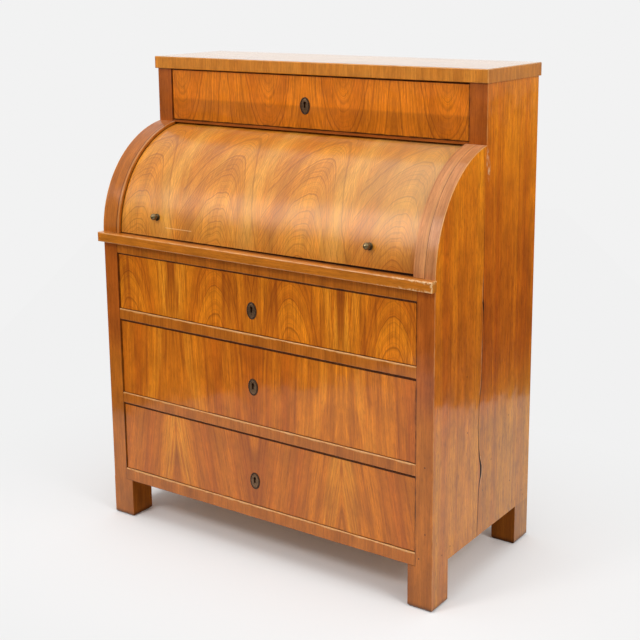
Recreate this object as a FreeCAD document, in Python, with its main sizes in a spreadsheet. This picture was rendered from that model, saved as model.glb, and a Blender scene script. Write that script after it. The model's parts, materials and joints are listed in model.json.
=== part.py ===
"""Cylinder desk: a carcass with a quarter-cylinder fall, a writing slide and drawers.

Millimetres, +Z up, the front faces -Y. The origin is at the bottom centre of the whole desk.
"""
import FreeCAD
import Part
import Sketcher
import os
import re
from FreeCAD import Vector

# Driving dimensions of the desk
SIZES = {
    # carcass
    "case_width": 990.0,
    "case_depth": 490.0,
    "side_thickness": 26.0,
    "stile_width": 46.0,
    "stile_depth": 22.0,
    "upper_stile_width": 47.0,
    "upper_setback": 228.5,
    "edge_ease": 1.5,
    "back_thickness": 11.0,
    "back_rebate": 12.0,
    "back_board_count": 5.0,
    # feet
    "foot_height": 103.0,
    "foot_width": 65.0,
    "foot_depth": 72.0,
    "foot_chamfer": 4.0,
    # rails and openings, from the bottom up
    "bottom_rail_height": 33.0,
    "lower_drawer_height": 185.0,
    "middle_drawer_height": 200.5,
    "upper_drawer_height": 148.0,
    "rail_height": 28.5,
    "rail_depth": 45.0,
    "slide_rail_height": 28.5,
    "top_rail_height": 7.0,
    "top_rail_depth": 40.0,
    "top_drawer_height": 134.5,
    "bottom_board_thickness": 8.0,
    # top board
    "top_thickness": 32.0,
    "top_front_overhang": 8.0,
    "top_side_overhang": 4.0,
    "top_back_overhang": 5.0,
    "top_ease": 2.5,
    # writing slide
    "lip_height": 25.0,
    "lip_reach": 20.0,
    "lip_side_overhang": 3.0,
    "lip_ease": 3.0,
    "board_thickness": 22.0,
    "board_rear_gap": 59.0,
    "board_side_gap": 3.0,
    "bearer_width": 26.0,
    "bearer_height": 26.0,
    "bed_thickness": 8.0,
    # curved bands and cylinder fall
    "band_width": 55.0,
    "band_radius": 275.5,
    "band_thickness": 7.0,
    "axis_drop": 5.0,
    "shell_gap": 0.5,
    "shell_thickness": 16.0,
    "shell_foot_gap": 1.0,
    "shell_top_angle": 83.0,
    "shell_top_gap": 1.5,
    "arm_thickness": 14.0,
    "arm_side_gap": 3.0,
    "arm_foot_angle": 8.0,
    "arm_head_angle": 80.0,
    "hub_radius": 20.0,
    "pin_radius": 5.0,
    "pin_depth": 16.0,
    "pin_head_radius": 8.0,
    "pin_head_height": 2.4,
    "stop_width": 16.0,
    "stop_depth": 20.0,
    "stop_height": 30.0,
    "stop_back_gap": 6.0,
    "open_angle": 55.0,
    # turned knobs of the fall
    "knob_end_inset": 148.0,
    "knob_height_place": 57.0,
    "rosette_radius": 9.0,
    "rosette_height": 2.0,
    "neck_radius": 3.6,
    "neck_height": 3.0,
    "ball_radius": 8.5,
    # drawers
    "front_thickness": 22.0,
    "front_inset": 3.0,
    "front_ease": 0.8,
    "front_side_gap": 1.0,
    "front_top_gap": 2.5,
    "drawer_wall": 13.0,
    "drawer_floor": 8.0,
    "drawer_floor_rise": 9.0,
    "groove_depth": 5.0,
    "wall_drop": 6.0,
    "drawer_rear_gap": 8.0,
    "tail_count": 3.0,
    "tail_length": 15.0,
    "tail_root_width": 20.0,
    "tail_tip_width": 28.0,
    "runner_height": 20.0,
    "runner_ledge": 25.0,
    "guide_height": 28.0,
    # locks
    "keyhole_radius": 3.4,
    "keyhole_slot": 4.6,
    "keyhole_height": 15.5,
    "plate_height": 43.0,
    "plate_width": 30.0,
    "plate_thickness": 2.0,
    "plate_drop": 7.0,
    "lock_width": 60.0,
    "lock_height": 56.0,
    "lock_depth": 14.0,
    "bolt_width": 18.0,
    "bolt_thickness": 5.0,
    "bolt_throw": 8.0,
    "bolt_tip_gap": 1.0,
    "mortise_gap": 1.5,
    "lock_side_place": -12.5,
    "top_keyhole_rise": 64.5,
    "upper_keyhole_rise": 65.0,
    "middle_keyhole_rise": 101.5,
    "lower_keyhole_rise": 71.5,
    # gallery behind the fall
    "gallery_depth": 159.0,
    "gallery_height": 125.0,
    "gallery_board": 10.0,
    "gallery_side_gap": 5.0,
    "small_drawer_width": 210.0,
    "small_front": 12.0,
    "small_wall": 8.0,
    "small_floor": 5.0,
    "small_inset": 2.0,
    "small_knob_radius": 6.5,
    "small_knob_neck": 3.2,
    "small_knob_neck_height": 5.0,
    "small_knob_head_height": 6.0,
    # clearances
    "running_gap": 0.3,
    "pin_gap": 0.1,
    "glue_gap": 0.05,
    "overrun": 5.0,
}

# Places and levels that follow from the driving dimensions
PLACES = {
    "case_half": "case_width / 2",
    "side_inner": "case_half - side_thickness",
    "stile_inner": "case_half - stile_width",
    "upper_stile_inner": "case_half - upper_stile_width",
    "front_y": "-(case_depth + top_back_overhang - lip_reach) / 2",
    "case_back_y": "front_y + case_depth",
    "back_inner_y": "case_back_y - back_thickness",
    "upper_front_y": "front_y + upper_setback",
    "lower_opening_z": "foot_height + bottom_rail_height",
    "lower_rail_z": "lower_opening_z + lower_drawer_height",
    "middle_opening_z": "lower_rail_z + rail_height",
    "upper_rail_z": "middle_opening_z + middle_drawer_height",
    "upper_opening_z": "upper_rail_z + rail_height",
    "slide_rail_z": "upper_opening_z + upper_drawer_height",
    "lip_z": "slide_rail_z + slide_rail_height",
    "desk_z": "lip_z + lip_height",
    "axis_y": "front_y + band_radius",
    "axis_z": "desk_z - axis_drop",
    "shoulder_z": "axis_z + sqrt(band_radius ^ 2 - (band_radius - upper_setback) ^ 2)",
    "shell_radius": "band_radius - band_thickness - shell_gap",
    "shell_inner": "shell_radius - shell_thickness",
    "shell_half": "side_inner - arm_side_gap",
    "top_rail_z": "axis_z + shell_radius + shell_top_gap",
    "top_opening_z": "top_rail_z + top_rail_height",
    "top_under_z": "top_opening_z + top_drawer_height",
    "arm_inner": "shell_half - arm_thickness",
    "gallery_half": "arm_inner - gallery_side_gap",
    "gallery_front_y": "back_inner_y - gallery_depth",
    "gallery_floor_z": "desk_z + shell_foot_gap",
    "gallery_deck_z": "gallery_floor_z + gallery_board",
    "gallery_roof_z": "gallery_floor_z + gallery_height - gallery_board",
    "small_bay": "small_drawer_width + 2 * running_gap",
    "small_bay_outer": "gallery_half - gallery_board",
    "small_bay_inner": "small_bay_outer - small_bay",
    "knob_angle": "asin(knob_height_place / shell_radius)",
}

WORD = re.compile(r"[a-z][a-z0-9_]*")

doc = FreeCAD.newDocument("CylinderDesk")
sizes_sheet = doc.addObject("Spreadsheet::Sheet", "Sizes")
places_sheet = doc.addObject("Spreadsheet::Sheet", "Places")
nodes = []


def expression(formula):
    """A formula of named sizes, with each name pointed at its sheet."""

    def full_name(match):
        word = match.group(0)
        if word in SIZES:
            return "Sizes." + word
        if word in PLACES:
            return "Places." + word
        return word

    return WORD.sub(full_name, formula)


def fill_sheets():
    """Write the driving dimensions, then the places worked out from them."""
    for row, (name, value) in enumerate(SIZES.items(), start=1):
        sizes_sheet.set(f"A{row}", name)
        sizes_sheet.set(f"B{row}", str(value))
        sizes_sheet.setAlias(f"B{row}", name)
    doc.recompute()
    for row, (name, formula) in enumerate(PLACES.items(), start=1):
        places_sheet.set(f"A{row}", name)
        places_sheet.set(f"B{row}", "=" + expression(formula))
        places_sheet.setAlias(f"B{row}", name)
        places_sheet.recompute()
    doc.recompute()


def number(formula):
    """The value that a formula of named sizes has now."""
    places_sheet.set("D1", "=" + expression(formula))
    places_sheet.recompute()
    return float(places_sheet.get("D1"))


def node(item):
    """Mark a document object as a sub-part of the desk."""
    nodes.append(item)
    return item


def place(item, x="0", y="0", z="0"):
    """Bind an object's position to formulas of named sizes."""
    for axis, formula in zip("xyz", (x, y, z)):
        item.setExpression(f"Placement.Base.{axis}", expression(formula))
    return item


def box(name, x, y, z):
    """A board given by its lowest and highest place along each axis."""
    board = doc.addObject("Part::Box", name)
    for side, (low, high) in zip(("Length", "Width", "Height"), (x, y, z)):
        board.setExpression(side, expression(f"({high}) - ({low})"))
    return place(board, x[0], y[0], z[0])


def cut(name, base, *tools):
    """A base with one or more tools taken out of it."""
    result = doc.addObject("Part::Cut", name)
    result.Base = base
    result.Tool = tools[0] if len(tools) == 1 else group(name + "_tools", *tools)
    return result


def joined(name, *members):
    """Members that are one piece of wood."""
    fusion = doc.addObject("Part::MultiFuse", name)
    fusion.Shapes = list(members)
    fusion.Refine = True
    return fusion


def group(name, *members):
    """Separate solids that share one node."""
    compound = doc.addObject("Part::Compound", name)
    compound.Links = list(members)
    return compound


def mirrored(name, source, normal=Vector(1, 0, 0), y="0"):
    """The mirror image of a piece, by default across the desk's middle plane."""
    image = doc.addObject("Part::Mirroring", name)
    image.Source = source
    image.Normal = normal
    image.setExpression("Base.y", expression(y))
    return image


def rod(name, radius, length, x, y, z):
    """A round bar along X that starts at a place."""
    bar = doc.addObject("Part::Cylinder", name)
    bar.setExpression("Radius", expression(radius))
    bar.setExpression("Height", expression(length))
    bar.Placement = FreeCAD.Placement(Vector(), FreeCAD.Rotation(Vector(0, 1, 0), 90))
    return place(bar, x, y, z)


def origin_plane(body, role):
    """One of a body's own three planes."""
    return next(plane for plane in body.Origin.OriginFeatures if plane.Role == role)


def start_body(name, plane):
    """A new body with an empty sketch on one of its planes."""
    body = doc.addObject("PartDesign::Body", name)
    sketch = body.newObject("Sketcher::SketchObject", name + "_outline")
    sketch.AttachmentSupport = [(origin_plane(body, plane), "")]
    sketch.MapMode = "FlatFace"
    return body, sketch


def draw_outline(sketch, corners, arcs=None):
    """Draw a closed outline through corners, each bound to two formulas.

    arcs maps a corner's index to (radius, centre u, centre v, long way round) for a stretch that is round.
    """
    arcs = arcs or {}
    count = len(corners)
    points = [Vector(number(u), number(v), 0) for u, v in corners]
    ends = []
    for index, start in enumerate(points):
        finish = points[(index + 1) % count]
        if index not in arcs:
            sketch.addGeometry(Part.LineSegment(start, finish))
            ends.append((1, 2))
            continue
        radius, centre_u, centre_v, long_way = arcs[index]
        centre = Vector(number(centre_u), number(centre_v), 0)
        circle = Part.Circle(centre, Vector(0, 0, 1), number(radius))
        turns_left = ((start - centre).cross(finish - centre).z > 0) != long_way
        first, last = (start, finish) if turns_left else (finish, start)
        sketch.addGeometry(Part.ArcOfCircle(circle, circle.parameter(first), circle.parameter(last)))
        ends.append((1, 2) if turns_left else (2, 1))
    for index in range(count):
        before = (index - 1) % count
        meeting = Sketcher.Constraint("Coincident", before, ends[before][1], index, ends[index][0])
        sketch.addConstraint(meeting)
        for kind, formula in zip(("DistanceX", "DistanceY"), corners[index]):
            dimension = Sketcher.Constraint(kind, index, ends[index][0], number(formula))
            place_index = sketch.addConstraint(dimension)
            sketch.setExpression(f"Constraints[{place_index}]", expression(formula))
        if index in arcs:
            radius = arcs[index][0]
            radius_index = sketch.addConstraint(Sketcher.Constraint("Radius", index, number(radius)))
            sketch.setExpression(f"Constraints[{radius_index}]", expression(radius))


def prism(name, plane, corners, length, arcs=None, **where):
    """An outline pushed along the axis square to its plane: +X for YZ, +Y for XZ, +Z for XY."""
    body, sketch = start_body(name, plane)
    draw_outline(sketch, corners, arcs)
    pad = body.newObject("PartDesign::Pad", name + "_pad")
    pad.Profile = sketch
    pad.setExpression("Length", expression(length))
    pad.Reversed = plane == "XZ_Plane"
    sketch.Visibility = False
    return place(body, **where)


def eased(body, size, wanted):
    """Round the edges of a body's last feature that a test picks out."""
    doc.recompute()
    base = body.Tip
    names = [f"Edge{index}" for index, edge in enumerate(base.Shape.Edges, start=1) if wanted(edge)]
    fillet = body.newObject("PartDesign::Fillet", body.Name + "_ease")
    fillet.Base = (base, names)
    fillet.setExpression("Radius", expression(size))
    body.Tip = fillet
    return body


def front_edges(edge):
    """True for an edge on the local front plane of a body."""
    return edge.BoundBox.YMax < FreeCAD.Base.Precision.confusion()


def slab(name, x, y, z, size=None, wanted=front_edges):
    """A board as a body, with eased edges where the real one is rounded over by hand."""
    width = f"({x[1]}) - ({x[0]})"
    height = f"({z[1]}) - ({z[0]})"
    corners = [("0", "0"), (width, "0"), (width, height), ("0", height)]
    body = prism(name, "XZ_Plane", corners, f"({y[1]}) - ({y[0]})", x=x[0], y=y[0], z=z[0])
    return eased(body, size, wanted) if size else body


def turned(name, corners, arcs=None):
    """A piece turned about its local Y axis, from a half profile in the YZ plane."""
    body, sketch = start_body(name, "YZ_Plane")
    draw_outline(sketch, corners, arcs)
    revolution = body.newObject("PartDesign::Revolution", name + "_turn")
    revolution.Profile = sketch
    revolution.ReferenceAxis = (sketch, ["H_Axis"])
    revolution.Angle = 360
    sketch.Visibility = False
    return body


def ring_corner(radius, angle):
    """The place on a circle about the fall's axis, at an angle up from the front."""
    return f"axis_y - {radius} * cos({angle})", f"axis_z + {radius} * sin({angle})"


def level_corner(radius, level):
    """The place on the front half of a circle about the fall's axis, at a height."""
    return f"axis_y - sqrt({radius} ^ 2 - ({level} - axis_z) ^ 2)", level


def about_axis(radius):
    """A round stretch centred on the fall's axis."""
    return radius, "axis_y", "axis_z", False


def make_sides():
    """Side panels whose front edge steps behind the stiles and follows the fall's curve."""
    corners = [
        ("front_y + stile_depth", "foot_height"),
        ("case_back_y", "foot_height"),
        ("case_back_y", "top_under_z"),
        ("upper_front_y + stile_depth", "top_under_z"),
        ("upper_front_y + stile_depth", "shoulder_z"),
        ("upper_front_y", "shoulder_z"),
        ("front_y", "axis_z"),
        ("front_y", "lip_z"),
        ("front_y + stile_depth", "lip_z"),
    ]
    curve = {5: about_axis("band_radius")}
    panel = prism("side_blank", "YZ_Plane", corners, "side_thickness", curve, x="-case_half")
    rebate = box(
        "side_rebate",
        ("-side_inner - back_rebate", "-side_inner + overrun"),
        ("back_inner_y", "case_back_y + overrun"),
        ("foot_height - overrun", "top_under_z + overrun"),
    )
    bore = rod(
        "side_bore",
        "pin_radius + glue_gap",
        "pin_depth + overrun",
        "-side_inner - pin_depth",
        "axis_y",
        "axis_z",
    )
    left = node(cut("left_side_panel", panel, rebate, bore))
    node(mirrored("right_side_panel", left))


def make_stiles():
    """Front stiles below the writing slide, and the short ones beside the top drawer."""
    lower = slab(
        "left_stile",
        ("-case_half", "-stile_inner"),
        ("front_y", "front_y + stile_depth"),
        ("foot_height", "lip_z"),
        "edge_ease",
        lambda edge: front_edges(edge) and edge.BoundBox.XMax < FreeCAD.Base.Precision.confusion(),
    )
    node(lower)
    node(mirrored("right_stile", lower))
    upper = slab(
        "left_upper_stile",
        ("-case_half", "-upper_stile_inner"),
        ("upper_front_y", "upper_front_y + stile_depth"),
        ("shoulder_z", "top_under_z"),
        "edge_ease",
        lambda edge: front_edges(edge) and edge.BoundBox.XMax < FreeCAD.Base.Precision.confusion(),
    )
    node(group("upper_stiles", upper, mirrored("right_upper_stile", upper)))


def make_bands():
    """Curved strips that widen the side panels' front edge and cover the ends of the fall."""
    foot = "desk_z + shell_gap"
    inner = "(band_radius - band_thickness)"
    inner_head = f"axis_z + sqrt({inner} ^ 2 - (band_radius - upper_setback) ^ 2)"
    corners = [
        level_corner("band_radius", f"({foot})"),
        ("upper_front_y", "shoulder_z"),
        ("upper_front_y", inner_head),
        level_corner(inner, f"({foot})"),
    ]
    arcs = {0: about_axis("band_radius"), 2: about_axis(inner)}
    width = "band_width - side_thickness"
    left = node(prism("left_arc_band", "YZ_Plane", corners, width, arcs, x="-side_inner"))
    node(mirrored("right_arc_band", left))


def make_feet():
    """Square block feet with a chamfer all round the sole."""
    body = prism(
        "front_left_foot",
        "XY_Plane",
        [("0", "0"), ("foot_width", "0"), ("foot_width", "foot_depth"), ("0", "foot_depth")],
        "foot_height",
        x="-case_half",
        y="front_y",
    )
    doc.recompute()
    pad = body.Tip
    sole = [
        f"Edge{index}"
        for index, edge in enumerate(pad.Shape.Edges, start=1)
        if edge.BoundBox.ZMax < FreeCAD.Base.Precision.confusion()
    ]
    chamfer = body.newObject("PartDesign::Chamfer", "foot_chamfer_cut")
    chamfer.Base = (pad, sole)
    chamfer.setExpression("Size", expression("foot_chamfer"))
    body.Tip = chamfer
    middle = "front_y + case_depth / 2"
    back = mirrored("back_left_foot", body, Vector(0, 1, 0), middle)
    node(group("feet", body, back, mirrored("front_right_foot", body), mirrored("back_right_foot", back)))


def about_lock(half):
    """The places left and right of a lock's middle."""
    return f"lock_side_place - ({half})", f"lock_side_place + {half}"


def bolt_mortise(name, front, bottom):
    """The slot that a lock bolt shoots into, cut up from a rail's underside."""
    return box(
        name,
        about_lock("bolt_width / 2 + mortise_gap"),
        (f"{front} - mortise_gap", f"{front} + bolt_thickness + mortise_gap"),
        (f"{bottom} - overrun", f"{bottom} + bolt_throw + mortise_gap"),
    )


def bolt_front(opening_front):
    """Where a lock bolt's front face lies behind the opening that its drawer fills."""
    return f"({opening_front} + front_inset + front_thickness + bolt_thickness / 2)"


def make_rails():
    """Cross rails between the stiles, with mortises for the lock bolts of the drawers below them."""
    for name, bottom, height, locked in (
        ("bottom_rail", "foot_height", "bottom_rail_height", False),
        ("lower_drawer_rail", "lower_rail_z", "rail_height", True),
        ("upper_drawer_rail", "upper_rail_z", "rail_height", True),
        ("slide_rail", "slide_rail_z", "slide_rail_height", True),
    ):
        rail = slab(
            name + "_blank" if locked else name,
            ("-stile_inner", "stile_inner"),
            ("front_y", "front_y + rail_depth"),
            (bottom, f"{bottom} + {height}"),
            "edge_ease",
            lambda edge: front_edges(edge) and edge.BoundBox.ZLength < FreeCAD.Base.Precision.confusion(),
        )
        if locked:
            rail = cut(name, rail, bolt_mortise(name + "_mortise", bolt_front("front_y"), bottom))
        node(rail)
    node(box(
        "top_drawer_rail",
        ("-upper_stile_inner", "upper_stile_inner"),
        ("upper_front_y", "upper_front_y + top_rail_depth"),
        ("top_rail_z", "top_opening_z"),
    ))


def make_top():
    """Top board, rounded over along its upper edges and its front."""
    board = slab(
        "top_board_blank",
        ("-case_half - top_side_overhang", "case_half + top_side_overhang"),
        ("upper_front_y - top_front_overhang", "case_back_y + top_back_overhang"),
        ("top_under_z", "top_under_z + top_thickness"),
        "top_ease",
        lambda edge: front_edges(edge) or edge.BoundBox.ZMin > number("top_thickness / 2"),
    )
    node(cut("top_board", board, bolt_mortise("top_mortise", bolt_front("upper_front_y"), "top_under_z")))


def make_back_and_bottom():
    """Upright back boards in the side panels' rebates, and the board that closes the case below."""
    width = "2 * (side_inner + back_rebate) / back_board_count"
    boards = []
    for index in range(int(SIZES["back_board_count"])):
        left = f"-(side_inner + back_rebate) + {index} * {width}"
        boards.append(box(
            f"back_board_{index + 1}",
            (left, f"{left} + {width}"),
            ("back_inner_y", "case_back_y"),
            ("foot_height", "top_under_z"),
        ))
    node(group("back_boards", *boards))
    node(box(
        "bottom_board",
        ("-side_inner", "side_inner"),
        ("front_y + rail_depth", "back_inner_y"),
        ("foot_height", "foot_height + bottom_board_thickness"),
    ))


def runner_pair(name, opening_z, inner, thickness, front):
    """Runners under a drawer's sides, each with a guide that stands beside it."""
    ledge = f"side_inner - {inner} + runner_ledge"
    guide = f"side_inner - {inner}"
    corners = [
        ("0", "0"),
        (ledge, "0"),
        (ledge, thickness),
        (guide, thickness),
        (guide, f"{thickness} + guide_height"),
        ("0", f"{thickness} + guide_height"),
    ]
    length = f"back_inner_y - ({front})"
    left = prism(
        "left_" + name, "XZ_Plane", corners, length, x="-side_inner", y=front, z=f"{opening_z} - {thickness}"
    )
    return left, mirrored("right_" + name, left)


def make_runners():
    """Drawer runners, and the bearers and bed of the writing slide."""
    behind_rail = "front_y + rail_depth"
    pairs = []
    for level in ("lower", "middle", "upper"):
        opening = f"{level}_opening_z"
        pairs += runner_pair(f"{level}_runner", opening, "stile_inner", "runner_height", behind_rail)
    node(group("drawer_runners", *pairs))
    behind_top = "upper_front_y + top_rail_depth"
    top_pair = runner_pair("top_runner", "top_opening_z", "upper_stile_inner", "top_rail_height", behind_top)
    node(group("top_drawer_runners", *top_pair))
    bearer_top = "desk_z - board_thickness - running_gap"
    outer = "stile_inner - board_side_gap"
    bearer = box(
        "left_bearer",
        (f"-({outer})", f"-({outer}) + bearer_width"),
        (behind_rail, "back_inner_y"),
        (f"{bearer_top} - bearer_height", bearer_top),
    )
    node(group("slide_bearers", bearer, mirrored("right_bearer", bearer)))
    node(box(
        "slide_bed",
        (f"-({outer}) + bearer_width", f"{outer} - bearer_width"),
        (behind_rail, "back_inner_y"),
        (f"{bearer_top} - bearer_height", f"{bearer_top} - bearer_height + bed_thickness"),
    ))


def make_slide():
    """Writing slide: a board between the stiles with a lip across the whole front."""
    node(slab(
        "writing_lip",
        ("-case_half - lip_side_overhang", "case_half + lip_side_overhang"),
        ("front_y - lip_reach", "front_y - running_gap"),
        ("lip_z + running_gap", "desk_z"),
        "lip_ease",
    ))
    node(box(
        "writing_board",
        ("-stile_inner + board_side_gap", "stile_inner - board_side_gap"),
        ("front_y - running_gap", "back_inner_y - board_rear_gap"),
        ("desk_z - board_thickness", "desk_z"),
    ))


def make_fall():
    """Cylinder fall: a curved shell on two quadrant arms that turn on pins in the side panels."""
    foot = "(desk_z + shell_foot_gap)"
    corners = [
        level_corner("shell_radius", foot),
        ring_corner("shell_radius", "shell_top_angle"),
        ring_corner("shell_inner", "shell_top_angle"),
        level_corner("shell_inner", foot),
    ]
    arcs = {0: about_axis("shell_radius"), 2: about_axis("shell_inner")}
    node(prism("cylinder_shell", "YZ_Plane", corners, "2 * shell_half", arcs, x="-shell_half"))
    rim = "(shell_inner - glue_gap)"
    arm_corners = [
        ring_corner(rim, "arm_foot_angle"),
        ring_corner(rim, "arm_head_angle"),
        ("axis_y + hub_radius", "axis_z"),
        ("axis_y", "axis_z - hub_radius"),
    ]
    arm_arcs = {0: about_axis(rim), 2: about_axis("hub_radius")}
    blank = prism("arm_blank", "YZ_Plane", arm_corners, "arm_thickness", arm_arcs, x="-shell_half")
    bore = rod(
        "arm_bore",
        "pin_radius + pin_gap",
        "arm_thickness + 2 * overrun",
        "-shell_half - overrun",
        "axis_y",
        "axis_z",
    )
    arm = node(cut("left_quadrant_arm", blank, bore))
    node(mirrored("right_quadrant_arm", arm))


def make_pivots():
    """Pivot pins with a head that keeps the arm on, and the blocks that stop the open shell."""
    head_end = "arm_inner - running_gap"
    shank = "pin_depth + side_inner - arm_inner + running_gap"
    corners = [
        ("0", "0"),
        ("0", "pin_radius"),
        (shank, "pin_radius"),
        (shank, "pin_head_radius"),
        (f"{shank} + pin_head_height", "pin_head_radius"),
        (f"{shank} + pin_head_height", "0"),
    ]
    pin = turned("left_pin", corners)
    pin.Placement = FreeCAD.Placement(Vector(), FreeCAD.Rotation(Vector(0, 0, 1), -90))
    place(pin, f"-({head_end}) - ({shank})", "axis_y", "axis_z")
    node(group("pivot_pins", pin, mirrored("right_pin", pin)))
    widest_y = "axis_y - shell_inner * cos(shell_top_angle + open_angle)"
    rest_y = f"min(back_inner_y - stop_back_gap - stop_depth / 2; {widest_y})"
    rest_z = f"axis_z + sqrt(shell_inner ^ 2 - ({rest_y} - axis_y) ^ 2)"
    block = box(
        "left_stop",
        ("-side_inner", "-side_inner + stop_width"),
        (f"{rest_y} - stop_depth / 2", f"{rest_y} + stop_depth / 2"),
        (f"{rest_z} - running_gap - stop_height", f"{rest_z} - running_gap"),
    )
    node(group("cylinder_stops", block, mirrored("right_stop", block)))


def make_knobs():
    """Turned brass knobs on the fall: a rosette, a neck and a ball."""
    ball_centre = "(rosette_height + neck_height + sqrt(ball_radius ^ 2 - neck_radius ^ 2))"
    corners = [
        ("0", "0"),
        ("0", "rosette_radius"),
        ("-rosette_height", "rosette_radius"),
        ("-rosette_height", "neck_radius"),
        ("-rosette_height - neck_height", "neck_radius"),
        (f"-{ball_centre} - ball_radius", "0"),
    ]
    ball = {4: ("ball_radius", f"-{ball_centre}", "0", False)}
    knob = turned("left_knob", corners, ball)
    knob.Placement = FreeCAD.Placement(Vector(), FreeCAD.Rotation(Vector(1, 0, 0), -1))
    knob.setExpression("Placement.Rotation.Angle", expression("-knob_angle"))
    seat = "(shell_radius + glue_gap)"
    place(knob, "knob_end_inset - shell_half", *ring_corner(seat, "knob_angle"))
    node(group("fall_knobs", knob, mirrored("right_knob", knob)))


def keyhole_tool(name, length, y, z):
    """A keyhole's outline, round above and straight below, pushed back from a face."""
    half = "keyhole_slot / 2"
    meet = f"-sqrt(keyhole_radius ^ 2 - ({half}) ^ 2)"
    foot = "keyhole_radius - keyhole_height"
    corners = [(f"-{half}", foot), (half, foot), (half, meet), (f"-{half}", meet)]
    arcs = {2: ("keyhole_radius", "0", "0", True)}
    return prism(name, "XZ_Plane", corners, length, arcs, x="lock_side_place", y=y, z=z)


def oval(name, face, z):
    """An upright oval plate that stands out from a face."""
    edge = doc.addObject("Part::Ellipse", name + "_edge")
    edge.setExpression("MajorRadius", expression("plate_height / 2"))
    edge.setExpression("MinorRadius", expression("plate_width / 2"))
    edge.Placement = FreeCAD.Placement(Vector(), FreeCAD.Rotation(Vector(1, 1, 1), 240))
    place(edge, "lock_side_place", face, z)
    plate = doc.addObject("Part::Extrusion", name)
    plate.Base = edge
    plate.DirMode = "Custom"
    plate.Dir = Vector(0, -1, 0)
    plate.setExpression("LengthFwd", expression("plate_thickness"))
    plate.Solid = True
    return plate


def make_lock(name, face, key_z, top):
    """A drawer's keyhole plate, lock case and long bolt."""
    plate = oval(f"{name}_plate", face, f"{key_z} - plate_drop")
    through = "plate_thickness + 2 * overrun"
    hole = keyhole_tool(f"{name}_plate_keyhole", through, f"{face} - plate_thickness - overrun", key_z)
    node(cut(f"{name}_escutcheon", plate, hole))
    back = f"({face} + front_thickness)"
    bolt_y = f"({back} + bolt_thickness / 2)"
    case = box(
        f"{name}_case_blank",
        about_lock("lock_width / 2"),
        (back, f"{back} + lock_depth"),
        (f"{key_z} - lock_height / 2", f"{key_z} + lock_height / 2"),
    )
    slot = box(
        f"{name}_case_slot",
        about_lock("bolt_width / 2 + running_gap"),
        (f"{bolt_y} - running_gap", f"{bolt_y} + bolt_thickness + running_gap"),
        (f"{key_z} + keyhole_radius", f"{key_z} + lock_height / 2 + overrun"),
    )
    well = keyhole_tool(f"{name}_key_well", "lock_depth / 2", back, key_z)
    node(cut(f"{name}_lock_case", case, slot, well))
    node(box(
        f"{name}_lock_bolt",
        about_lock("bolt_width / 2"),
        (bolt_y, f"{bolt_y} + bolt_thickness"),
        (f"{key_z} + keyhole_radius + running_gap", f"{top} - bolt_tip_gap"),
    ))


def tail_row(name, x, width, back, low, height, ease):
    """The dovetails at the front end of a drawer's left side, or with some ease the sockets for them."""
    tails = []
    for index in range(int(SIZES["tail_count"])):
        middle = f"({low} + ({height}) * (2 * {index} + 1) / (2 * tail_count))"
        root = f"(tail_root_width / 2 + {ease})"
        tip = f"(tail_tip_width / 2 + {ease})"
        end = f"({back} - tail_length - {ease})"
        corners = [
            (back, f"{middle} - {root}"),
            (back, f"{middle} + {root}"),
            (end, f"{middle} + {tip}"),
            (end, f"{middle} - {tip}"),
        ]
        tails.append(prism(f"{name}_{index + 1}", "YZ_Plane", corners, width, x=x))
    return tails


def make_drawer(name, opening_front, opening_z, height, inner, key_rise):
    """A wide drawer: front, sides dovetailed to it, back, bottom in a groove, and lock."""
    face = f"({opening_front} + front_inset)"
    half = f"({inner} - front_side_gap)"
    low = f"({opening_z} + running_gap)"
    top = f"({opening_z} + {height} - front_top_gap)"
    key_z = f"({opening_z} + {key_rise})"
    back = f"({face} + front_thickness)"
    rear = "(back_inner_y - drawer_rear_gap)"
    wall_top = f"{top} - wall_drop"
    floor_low = f"({low} + drawer_floor_rise)"
    floor_high = f"({floor_low} + drawer_floor)"
    groove_half = f"({half} - drawer_wall + groove_depth)"

    blank = slab(f"{name}_front_blank", (f"-{half}", half), (face, back), (low, top), "front_ease")
    groove = box(
        f"{name}_front_groove",
        (f"-{groove_half}", groove_half),
        (f"{back} - groove_depth", f"{back} + overrun"),
        (floor_low, floor_high),
    )
    keyhole = keyhole_tool(f"{name}_keyhole", "front_thickness + 2 * overrun", f"{face} - overrun", key_z)
    row = (back, low, f"{wall_top} - {low}")
    socket_width = "overrun + drawer_wall + glue_gap"
    sockets = tail_row(f"{name}_socket", f"-{half} - overrun", socket_width, *row, "glue_gap")
    sockets = group(f"{name}_left_sockets", *sockets)
    socketed = cut(f"{name}_front_socketed", blank, sockets, mirrored(f"{name}_right_sockets", sockets))
    node(cut(f"{name}_front", socketed, groove, keyhole))

    wall = box(f"{name}_wall_blank", (f"-{half}", f"-{half} + drawer_wall"), (back, rear), (low, wall_top))
    tails = tail_row(f"{name}_tail", f"-{half}", "drawer_wall", *row, "0")
    tailed = joined(f"{name}_wall_tailed", wall, *tails)
    wall_groove = box(
        f"{name}_wall_groove",
        (f"-{groove_half}", f"-{half} + drawer_wall + overrun"),
        (f"{back} - groove_depth - glue_gap", f"{rear} + overrun"),
        (floor_low, floor_high),
    )
    left = cut(f"{name}_left_wall", tailed, wall_groove)
    rear_wall = box(
        f"{name}_rear_wall",
        (f"-{half} + drawer_wall", f"{half} - drawer_wall"),
        (f"{rear} - drawer_wall", rear),
        (floor_high, wall_top),
    )
    node(group(f"{name}_box", left, mirrored(f"{name}_right_wall", left), rear_wall))
    node(box(
        f"{name}_bottom",
        (f"-{groove_half}", groove_half),
        (f"{back} - groove_depth", rear),
        (floor_low, floor_high),
    ))
    make_lock(name, face, key_z, top)


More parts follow.
